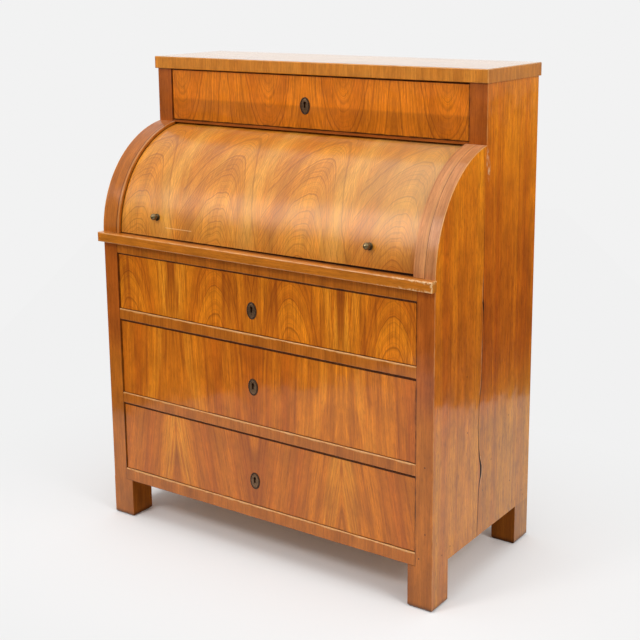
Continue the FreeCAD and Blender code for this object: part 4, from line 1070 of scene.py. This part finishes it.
def make_pine(node, across_name, along_name, seed):
    """The material of a pine board, from the coordinates across and along its grain."""
    # Pine, planed and bare: pale yellow and matt, with brown lines of late wood and brown stains.
    material, tree = start_material(node + "_pine_planed_bare")
    place, x, y, z = place_mm(tree)
    dark, tone = None, 1.0
    if node == "back_boards":
        x, tone, dark = split_back(tree, x, z)
    axes = {"x": x, "y": y, "z": z}
    across, along = axes[across_name], axes[along_name]
    count = straight_rings(tree, across, along, PINE_RING_MM, seed)
    line = add(tree, MATH, {0: ring_lines(tree, count), 1: 0.75}, operation="MULTIPLY")
    fibre = stretched_noise(tree, across, along, 1.6, 60.0, 3.0, seed)
    light = add(tree, RANGE, {0: fibre, 1: 0.3, 2: 0.7})
    colour = add(tree, MIX, {0: light, 6: PINE_DULL, 7: PINE_LIGHT}, **COLOUR)
    colour = add(tree, MIX, {0: line, 6: colour, 7: PINE_LATE}, **COLOUR)
    stain = add(tree, NOISE, {"Vector": place, "Scale": 0.006, "Detail": 3.0})
    stain = add(tree, RANGE, {0: stain, 1: 0.35, 2: 0.7, 3: 0.0, 4: 0.45})
    colour = add(tree, MIX, {0: stain, 6: colour, 7: PINE_STAIN}, **COLOUR)
    colour = add(tree, VECTOR, {0: colour, "Scale": tone}, operation="SCALE")
    if dark is not None:
        colour = add(tree, MIX, {0: dark, 6: colour, 7: PINE_GAP}, **COLOUR)
    bump = add(tree, "ShaderNodeBump", {"Strength": 0.5, "Distance": 0.2 / PER_METRE, "Height": fibre})
    shader = add(tree, "ShaderNodeBsdfPrincipled", {"Base Color": colour, "Roughness": 0.75, "Normal": bump})
    add(tree, "ShaderNodeOutputMaterial", {"Surface": shader})
    return material


PINE_BOARDS = {
    # board: the coordinates across and along its grain
    "back_boards": "xz", "bottom_board": "yx", "drawer_runners": "xy", "top_drawer_runners": "xy",
    "slide_bearers": "xy", "slide_bed": "yx", "cylinder_stops": "yz", "left_quadrant_arm": "zy",
    "right_quadrant_arm": "zy",
}
for level in DRAWER_FIGURES:
    PINE_BOARDS[level + "_drawer_box"] = "zy"
    PINE_BOARDS[level + "_drawer_bottom"] = "yx"
for index, (node, (across_name, along_name)) in enumerate(PINE_BOARDS.items()):
    dress([node], make_pine(node, across_name, along_name, 201.0 + 2.9 * index))
print("pine boards:", len(PINE_BOARDS))

# %% [markdown]
# ## Brass and iron
# The keyhole plates and knobs are cast and turned brass that has not been cleaned for a century, so a brown
# tarnish lies on it and only the rubbed places glint. Tarnish is a skin of oxide and no metal, so the
# shader is metal only in part. It stays longest in the recesses, and an attribute named recess says where
# those are; on a knob it marks the rosette and neck, whose tarnish also stands for painted shade. The locks
# are iron with a dark oily skin.

# %% Metals
def make_metal(name, clean, tarnish, tarnish_share, rough, metallic):
    """A metal under a cloudy skin, with its roughness where it is clean and where the skin lies."""
    material, tree = start_material(name)
    place, *_ = place_mm(tree)
    cloud = add(tree, NOISE, {"Vector": place, "Scale": 0.22, "Detail": 5.0, "Roughness": 0.65})
    share = add(tree, RANGE, {0: cloud, 1: 0.34, 2: 0.62, 3: tarnish_share - 0.3, 4: tarnish_share + 0.2})
    recess = add(tree, "ShaderNodeAttribute", {}, out="Fac", attribute_name="recess")
    share = add(tree, MATH, {0: share, 1: recess}, operation="MAXIMUM")
    colour = add(tree, MIX, {0: share, 6: clean, 7: tarnish}, **COLOUR)
    dull = add(tree, RANGE, {0: share, 1: 0.2, 2: 1.0, 3: rough[0], 4: rough[1]})
    bump = add(tree, "ShaderNodeBump", {"Strength": 0.25, "Distance": 0.1 / PER_METRE, "Height": cloud})
    shader = add(tree, "ShaderNodeBsdfPrincipled", {
        "Base Color": colour, "Metallic": metallic, "Roughness": dull, "Normal": bump,
    })
    add(tree, "ShaderNodeOutputMaterial", {"Surface": shader})
    return material


# Cast brass, tarnished: dark brown, with dull golden glints where dusters touch it.
brass = make_metal("tarnished_cast_brass", "#9C7856", "#2A1C12", 0.55, (0.24, 0.5), 0.7)
# Turned brass, rubbed by hands: olive gold, with a small clear highlight on the ball.
rubbed_brass = make_metal("rubbed_turned_brass", "#A08A62", "#4A3C26", 0.6, (0.2, 0.4), 0.85)
# Forged iron under old oil: dark grey, with a broad dull sheen.
iron = make_metal("forged_iron_oiled", "#5C5854", "#33302D", 0.6, (0.4, 0.62), 0.8)
locks = [level + "_drawer_lock_" + part for level in DRAWER_FIGURES for part in ("case", "bolt")]
dress(["pivot_pins"] + locks, iron)
print("iron pieces:", 1 + len(locks))

# %% [markdown]
# ## Turned and cast pieces from loops
# A lathe or a mould makes a piece loop by loop. The helper does the same: it starts from a filled circle,
# and pushes and widens it step by step along a profile. An oval piece has two half widths per step.
# Spinning a profile would serve for the round pieces only, so one way makes them all.

# %% Loops along a profile
MM = 1 / PER_METRE
SMOOTH_ANGLE = math.radians(40)


def select_only(*pieces):
    """Select these pieces and nothing else, the first of them active."""
    bpy.ops.object.select_all(action="DESELECT")
    for piece in pieces:
        piece.select_set(True)
    bpy.context.view_layer.objects.active = pieces[0]


def raise_loops(name, steps, sides):
    """A closed skin from steps of (half width in x, half width in y, height), all in millimetres."""
    bpy.ops.object.select_all(action="DESELECT")
    bpy.ops.mesh.primitive_circle_add(vertices=sides, radius=MM, fill_type="NGON")
    piece = bpy.context.object
    piece.name = name
    bpy.ops.object.mode_set(mode="EDIT")
    bpy.ops.mesh.select_all(action="SELECT")
    bpy.ops.transform.resize(value=(steps[0][0], steps[0][1], 1.0))
    bpy.ops.transform.translate(value=(0.0, 0.0, steps[0][2] * MM))
    for before, after in zip(steps, steps[1:]):
        rise = (after[2] - before[2]) * MM
        bpy.ops.mesh.extrude_region_move(TRANSFORM_OT_translate={"value": (0.0, 0.0, rise)})
        bpy.ops.transform.resize(value=(after[0] / before[0], after[1] / before[1], 1.0))
    bpy.ops.mesh.select_all(action="SELECT")
    bpy.ops.mesh.normals_make_consistent(inside=False)
    bpy.ops.object.mode_set(mode="OBJECT")
    return piece


def turn(name, profile, sides):
    """A turned piece from a profile of (radius, height)."""
    return raise_loops(name, [(radius, radius, rise) for radius, rise in profile], sides)


def mark_recess(piece, top_mm):
    """Note on each vertex whether it lies so low that the tarnish stays."""
    recess = piece.data.attributes.new("recess", "FLOAT", "POINT")
    for vertex, mark in zip(piece.data.vertices, recess.data):
        mark.value = 1.0 if vertex.co.z * PER_METRE < top_mm else 0.0


print("loops are smoothed below", round(math.degrees(SMOOTH_ANGLE)), "degrees")

# %% [markdown]
# ## Copies in place
# What repeats is modelled once, lying on the floor at the origin, and copied. Each copy has its own mesh.
# It is turned upright, put in its place, and that is then fixed in the mesh, so that the finished piece's
# object stays at the origin as the boards do. The first one is thrown away at the end.

# %% Copy, place and discard
def copy_of(piece, name):
    """A copy with a mesh of its own."""
    select_only(piece)
    bpy.ops.object.duplicate(linked=False)
    bpy.context.object.name = name
    return bpy.context.object


def settle(piece, location, tilt):
    """Turn a piece about X, put it in place and fix that in its mesh."""
    select_only(piece)
    piece.rotation_euler.x = tilt
    piece.location = location
    bpy.ops.object.transform_apply(location=True, rotation=True, scale=True)
    bpy.ops.object.shade_smooth_by_angle(angle=SMOOTH_ANGLE)


def discard(*pieces):
    """Delete helper pieces."""
    select_only(*pieces)
    bpy.ops.object.delete()


def mount(piece, node, body):
    """Let a brass piece stand for a CAD node and ride on its body."""
    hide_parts(node)
    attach(piece, body)


def seat_of(node):
    """Where a piece on a front is seated: the middle of its node's rear face, in metres."""
    low, high = (Vector(corner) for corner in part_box(node))
    middle = (low + high) / 2
    return middle.x, high.y, middle.z


print("copies stand upright on the fronts")

# %% [markdown]
# ## Keyhole plates
# Each plate is a cast oval of 43 by 30 mm: a flat edge, a rim of small beads, a groove, and a low dome that
# is cut by the keyhole. The oval is raised loop by loop, and a round and a square cutter take out the
# keyhole.

# %% One keyhole plate
HALF_WIDE, HALF_HIGH = 15.0, 21.5
PLATE_PROFILE = (
    # distance in from the edge, height over the drawer front, in mm
    (0.3, 0.0), (0.0, 0.3), (0.0, 0.8), (0.3, 1.1), (0.8, 1.15), (2.4, 1.15), (2.8, 0.9), (3.4, 0.9),
    (3.8, 1.2), (5.0, 1.5), (7.5, 1.75), (10.5, 1.85), (13.5, 1.9),
)
RIM_TOP = 1.3
KEYHOLE_RADIUS = 4.1
SLOT_WIDE, SLOT_LONG = 5.0, 12.1
CUT_LOW, CUT_HIGH = -3.0, 5.0
SLOT_CUT = CUT_HIGH - CUT_LOW - 0.1

plate_steps = [(HALF_WIDE - inset, HALF_HIGH - inset, rise) for inset, rise in PLATE_PROFILE]
plate = raise_loops("keyhole_plate", plate_steps, 72)
mark_recess(plate, RIM_TOP)
round_cutter = turn("round_cutter", [(KEYHOLE_RADIUS, CUT_LOW), (KEYHOLE_RADIUS, CUT_HIGH)], 32)
round_cutter.location.y = KEYHOLE_RISE * MM
slot_middle = Vector((0.0, KEYHOLE_RISE - SLOT_LONG / 2, (CUT_LOW + CUT_HIGH) / 2)) * MM
slot_size = Vector((SLOT_WIDE, SLOT_LONG, SLOT_CUT)) * MM
bpy.ops.mesh.primitive_cube_add(size=1.0, location=slot_middle, scale=slot_size)
slot_cutter = bpy.context.object
for cutter in (round_cutter, slot_cutter):
    select_only(plate)
    hole = plate.modifiers.new("keyhole", "BOOLEAN")
    hole.operation = "DIFFERENCE"
    hole.object = cutter
    hole.solver = "EXACT"
    bpy.ops.object.modifier_apply(modifier="keyhole")
discard(round_cutter, slot_cutter)
print("plate with", len(plate.data.polygons), "faces")

# %% [markdown]
# ## Beads and pins
# The rim's beads stand at even steps along the oval. Even angles would crowd them at its ends, so the rim
# is walked in small steps and a bead is set wherever the walked length says. A pin at the plate's head and
# one at its foot hold it to the drawer.

# %% Beads and pins of the plate
BEADS = 48
RIM_STEPS = 720
RIM_INSET, BEAD_RADIUS, BEAD_HEIGHT = 1.6, 0.72, 1.2
PIN_PROFILE = [(1.4, 1.2), (1.4, 1.7), (1.15, 2.0), (0.6, 2.15)]
PIN_OFF_MIDDLE = 15.6

rim = [Vector((math.cos(angle) * (HALF_WIDE - RIM_INSET), math.sin(angle) * (HALF_HIGH - RIM_INSET), 0.0))
       for angle in (math.tau * step / RIM_STEPS for step in range(RIM_STEPS + 1))]
walked = [0.0]
for before, after in zip(rim, rim[1:]):
    walked.append(walked[-1] + (after - before).length)
bpy.ops.mesh.primitive_uv_sphere_add(segments=10, ring_count=6, radius=BEAD_RADIUS * MM)
bead = bpy.context.object
members = [plate]
for index in range(BEADS):
    spot = rim[next(step for step, length in enumerate(walked) if length >= walked[-1] * index / BEADS)]
    ball = copy_of(bead, "bead")
    ball.location = (spot.x * MM, spot.y * MM, BEAD_HEIGHT * MM)
    members.append(ball)
pin = turn("plate_pin", PIN_PROFILE, 14)
foot_pin = copy_of(pin, "plate_foot_pin")
pin.location.y = PIN_OFF_MIDDLE * MM
foot_pin.location.y = -PIN_OFF_MIDDLE * MM
members += [pin, foot_pin]
select_only(*members)
bpy.ops.object.join()
plate.name = "keyhole_plate"
discard(bead)
plate.data.materials.clear()
plate.data.materials.append(brass)
print("plate with", BEADS, "beads and 2 pins")

# %% [markdown]
# ## A plate on every drawer
# The plates are copies of one casting, as the real ones are. Each sits where the construction has its plain
# oval, stands for it and moves with its drawer.

# %% Place the plates
for level in DRAWER_FIGURES:
    node = level + "_drawer_escutcheon"
    piece = copy_of(plate, level + "_keyhole_plate")
    settle(piece, seat_of(node), math.pi / 2)
    mount(piece, node, level + "_drawer")
discard(plate)
print("keyhole plates:", len(DRAWER_FIGURES))

# %% [markdown]
# ## Knobs of the fall
# The fall is lifted by two turned brass knobs: a stepped rosette, a short waisted neck and a ball. They
# stand square to the curve, so they tilt up a little. The rosette and neck keep their tarnish, which also
# stands for painted shade under the ball, and hands have rubbed the ball.

# %% Place the knobs
ROSETTE_RADIUS = 9.0
NECK_TOP = 4.9
BALL_MIDDLE, BALL_RADIUS = 12.7, 8.5
KNOB_RISE = 57.0
KNOB_GAP = 0.05
KNOB_FOOT = [
    # radius and height of rosette and neck, in mm
    (8.8, 0.0), (ROSETTE_RADIUS, 0.3), (ROSETTE_RADIUS, 0.9), (8.5, 1.3), (7.2, 1.4), (6.9, 1.7), (6.2, 1.95),
    (4.8, 2.2), (4.0, 2.7), (3.6, 3.4), (3.5, 4.2), (3.6, 4.8),
]
ball_angles = [math.radians(angle) for angle in range(-63, 88, 10)]
knob_ball = [
    (BALL_RADIUS * math.cos(angle), BALL_MIDDLE + BALL_RADIUS * math.sin(angle)) for angle in ball_angles
]
knob = turn("fall_knob", KNOB_FOOT + knob_ball, 36)
knob.data.materials.append(rubbed_brass)
# The rosette and neck render dark: tarnish, and painted shade under the ball.
mark_recess(knob, NECK_TOP)
low, high = box_mm("fall_knobs")
lift = math.asin(KNOB_RISE / FALL_RADIUS)
seat = FALL_RADIUS + KNOB_GAP
for name, x in (("left_fall_knob", low.x + ROSETTE_RADIUS), ("right_fall_knob", high.x - ROSETTE_RADIUS)):
    piece = copy_of(knob, name)
    spot = Vector((x, AXIS.y - seat * math.cos(lift), AXIS.z + seat * math.sin(lift)))
    settle(piece, spot * MM, math.pi / 2 - lift)
    mount(piece, "fall_knobs", "fall")
discard(knob)
print("knobs at x", round(low.x + ROSETTE_RADIUS), "and", round(high.x - ROSETTE_RADIUS), "mm")

# %% [markdown]
# ## Buttons of the small drawers
# The small drawers inside have flat turned buttons with a ring on the face. They are made as the knobs are.

# %% Place the buttons
BUTTON_PROFILE = [
    # radius and height, in mm
    (3.4, 0.0), (3.2, 0.5), (2.8, 2.2), (3.0, 3.8), (4.2, 4.8), (6.0, 5.4), (6.5, 6.2), (6.5, 7.6),
    (6.2, 8.6), (5.4, 9.5), (4.6, 9.8), (4.2, 9.5), (3.4, 9.7), (2.0, 10.6), (0.7, 10.9),
]
button = turn("button", BUTTON_PROFILE, 28)
button.data.materials.append(rubbed_brass)
for side in ("left", "right"):
    node = side + "_small_knob"
    piece = copy_of(button, side + "_button")
    settle(piece, seat_of(node), math.pi / 2)
    mount(piece, node, side + "_small_drawer")
discard(button)
print("buttons: 2")

# %% [markdown]
# ## Floor
# The desk stands on a strip of white paper about 2.8 m wide, square to the camera. Near the desk the paper
# is plain and takes its shadow. Further off the rays of camera, mirror and glass see it as white, so that
# it fades into the background without more light on the desk.

# %% Paper floor
HEADING_DEGREES = 34.398
HEADING = math.radians(HEADING_DEGREES)
PAPER_MIDDLE = (0.062, 0.042, 0.0)
PAPER_SIZE = (2.81, 9.0, 1.0)
SHADOW_CORE = (0.5, 0.25, 0.0)
SHADOW_REACH = 0.7


def rays_that_see(tree):
    """1 for the rays of camera, glass and mirror, and 1 for mirror rays alone."""
    rays = add(tree, "ShaderNodeLightPath", {}).node.outputs
    seen = rays["Is Camera Ray"]
    for kind in ("Is Transmission Ray", "Is Glossy Ray"):
        seen = add(tree, MATH, {0: seen, 1: rays[kind]}, operation="MAXIMUM")
    return seen, rays["Is Glossy Ray"]


bpy.ops.mesh.primitive_plane_add(size=1.0, location=PAPER_MIDDLE, rotation=(0.0, 0.0, HEADING))
floor = bpy.context.object
floor.name = "paper_floor"
floor.scale = PAPER_SIZE
# Matte white paper: no highlight, only the desk's soft shadow.
paper, tree = start_material("matte_white_paper")
spot = add(tree, "ShaderNodeNewGeometry", {}, out="Position")
spot = add(tree, VECTOR, {0: spot}, operation="ABSOLUTE")
spot = add(tree, VECTOR, {0: spot, 1: SHADOW_CORE}, operation="SUBTRACT")
spot = add(tree, VECTOR, {0: spot, 1: (0.0, 0.0, 0.0)}, operation="MAXIMUM")
off = add(tree, VECTOR, {0: spot}, out="Value", operation="LENGTH")
far = add(tree, RANGE, {0: off, 1: 0.0, 2: SHADOW_REACH, 3: 0.0, 4: 1.0})
far = add(tree, MATH, {0: far, 1: 0.4}, operation="POWER")
seen, _ = rays_that_see(tree)
white = add(tree, MATH, {0: far, 1: seen}, operation="MULTIPLY")
shaded = add(tree, "ShaderNodeBsdfDiffuse", {"Color": "#F0F0F0"})
plain = add(tree, "ShaderNodeEmission", {"Color": "#F1F1F1", "Strength": 1.0})
mixed = add(tree, "ShaderNodeMixShader", {0: white, 1: shaded, 2: plain})
add(tree, "ShaderNodeOutputMaterial", {"Surface": mixed})
floor.data.materials.append(paper)
print("paper floor", PAPER_SIZE[0], "m wide")

# %% [markdown]
# ## The studio that the polish reflects
# Beyond the paper the studio is dark, and the polish shows it: boards that look away from the paper reflect
# the dark room and keep their full colour, and low boards reflect the paper and look milky. A white wall
# stands behind the desk, soft light hangs overhead, and one soft box shines at the front left. Each of these
# is a strength by direction. A modelled room would do the same, but it would take far more pieces.

# %% Studio by direction
BEHIND = (-math.sin(HEADING), math.cos(HEADING), 0.0)
SOFT_BOX = Vector((-0.47, -0.76, 0.45)).normalized()

world = bpy.data.worlds.new("white_studio")
bpy.context.scene.world = world
world.use_nodes = True
tree = world.node_tree
tree.nodes.clear()
way = add(tree, "ShaderNodeTexCoord", {}, out="Generated")
right, depth, up = add(tree, SPLIT, {0: way}).node.outputs
away = add(tree, VECTOR, {0: way, 1: BEHIND}, out="Value", operation="DOT_PRODUCT")
wall = add(tree, RANGE, {0: away, 1: -0.1, 2: 0.25, 3: 0.0, 4: 1.3})
wall_foot = add(tree, RANGE, {0: up, 1: -0.03, 2: 0.03})
wall_head = add(tree, RANGE, {0: up, 1: 0.30, 2: 0.60, 3: 1.0, 4: 0.2})
for share in (wall_foot, wall_head):
    wall = add(tree, MATH, {0: wall, 1: share}, operation="MULTIPLY")
overhead = add(tree, RANGE, {0: up, 1: 0.05, 2: 0.66, 3: 0.0, 4: 2.05}, **SMOOTH)
front = add(tree, RANGE, {0: depth, 1: 0.35, 2: 0.75, 3: 1.0, 4: 0.1}, **SMOOTH)
left_end = add(tree, RANGE, {0: right, 1: -0.71, 2: -0.60, 3: 0.3, 4: 1.0})
for share in (front, left_end):
    overhead = add(tree, MATH, {0: overhead, 1: share}, operation="MULTIPLY")
near = add(tree, VECTOR, {0: way, 1: SOFT_BOX}, out="Value", operation="DOT_PRODUCT")
soft_box = add(tree, RANGE, {0: near, 1: 0.95, 2: 0.999, 3: 0.0, 4: 8.0}, **SMOOTH)
room_wall = add(tree, RANGE, {0: up, 1: -0.104, 2: -0.096, 3: 0.03, 4: 0.36})
studio = add(tree, MATH, {0: overhead, 1: soft_box}, operation="ADD")
for light in (wall, room_wall):
    studio = add(tree, MATH, {0: studio, 1: light}, operation="MAXIMUM")
print("studio light from", len(tree.nodes), "nodes")

# %% [markdown]
# ## What each ray sees of the studio
# Only mirror rays see the walls and lights above. The camera and glass see plain white, as a photographer's
# backdrop would be, and all other rays get an even fill from above, so that the wood is lit softly. One world
# for all rays would put the dark room into the picture's background.

# %% World shader
seen, mirrored = rays_that_see(tree)
studio = add(tree, MIX, {0: mirrored, 2: 1.0, 3: studio})
fill = add(tree, RANGE, {0: up, 1: -0.1, 2: 0.1, 3: 0.2, 4: 0.66})
room = add(tree, "ShaderNodeBackground", {"Color": WHITE, "Strength": fill})
backdrop = add(tree, "ShaderNodeBackground", {"Color": "#F2F2F2", "Strength": studio})
mixed = add(tree, "ShaderNodeMixShader", {0: seen, 1: room, 2: backdrop})
add(tree, "ShaderNodeOutputWorld", {"Surface": mixed})
print("world with", len(tree.nodes), "nodes")

# %% [markdown]
# ## Lamps
# Three soft boxes light the desk at a plain level: one from the front left, one from the right, one from
# above. The polish already reflects the studio, so the lamps are hidden from mirror rays.

# %% Soft boxes
LIT_SPOT = Vector((0.0, 0.0, 0.7))
SOFT_BOXES = (
    # name, place, width in metres, power in watts
    ("key_soft_box", (-0.72, -2.3, 2.45), 0.7, 30.0),
    ("side_soft_box", (3.2, -0.6, 2.6), 1.6, 50.0),
    ("overhead_soft_box", (0.0, -0.2, 3.8), 3.0, 30.0),
)
for name, location, size, power in SOFT_BOXES:
    bpy.ops.object.light_add(type="AREA", location=location)
    lamp = bpy.context.object
    lamp.name = name
    lamp.data.shape = "SQUARE"
    lamp.data.size = size
    lamp.data.energy = power
    lamp.visible_glossy = False
    lamp.rotation_euler = (LIT_SPOT - lamp.location).to_track_quat("-Z", "Y").to_euler()
print("soft boxes:", len(SOFT_BOXES))

# %% [markdown]
# ## Camera
# The camera stands a little above the desk's top, to its right, and looks slightly down. Its lens and shift
# give the framing of a standing photographer who keeps the desk's uprights nearly upright.

# %% Camera
bpy.ops.object.camera_add(location=(1.7585, -2.4540, 1.4131))
camera = bpy.context.object
camera.rotation_euler = [math.radians(angle) for angle in (78.182, 0.355, HEADING_DEGREES)]
camera.data.lens = 68.6
camera.data.sensor_width = 36.0
camera.data.shift_x = -0.0249
camera.data.shift_y = -0.1323
bpy.context.scene.camera = camera
bpy.context.scene.view_settings.view_transform = "Standard"
print("camera with a lens of", round(camera.data.lens, 1), "mm")
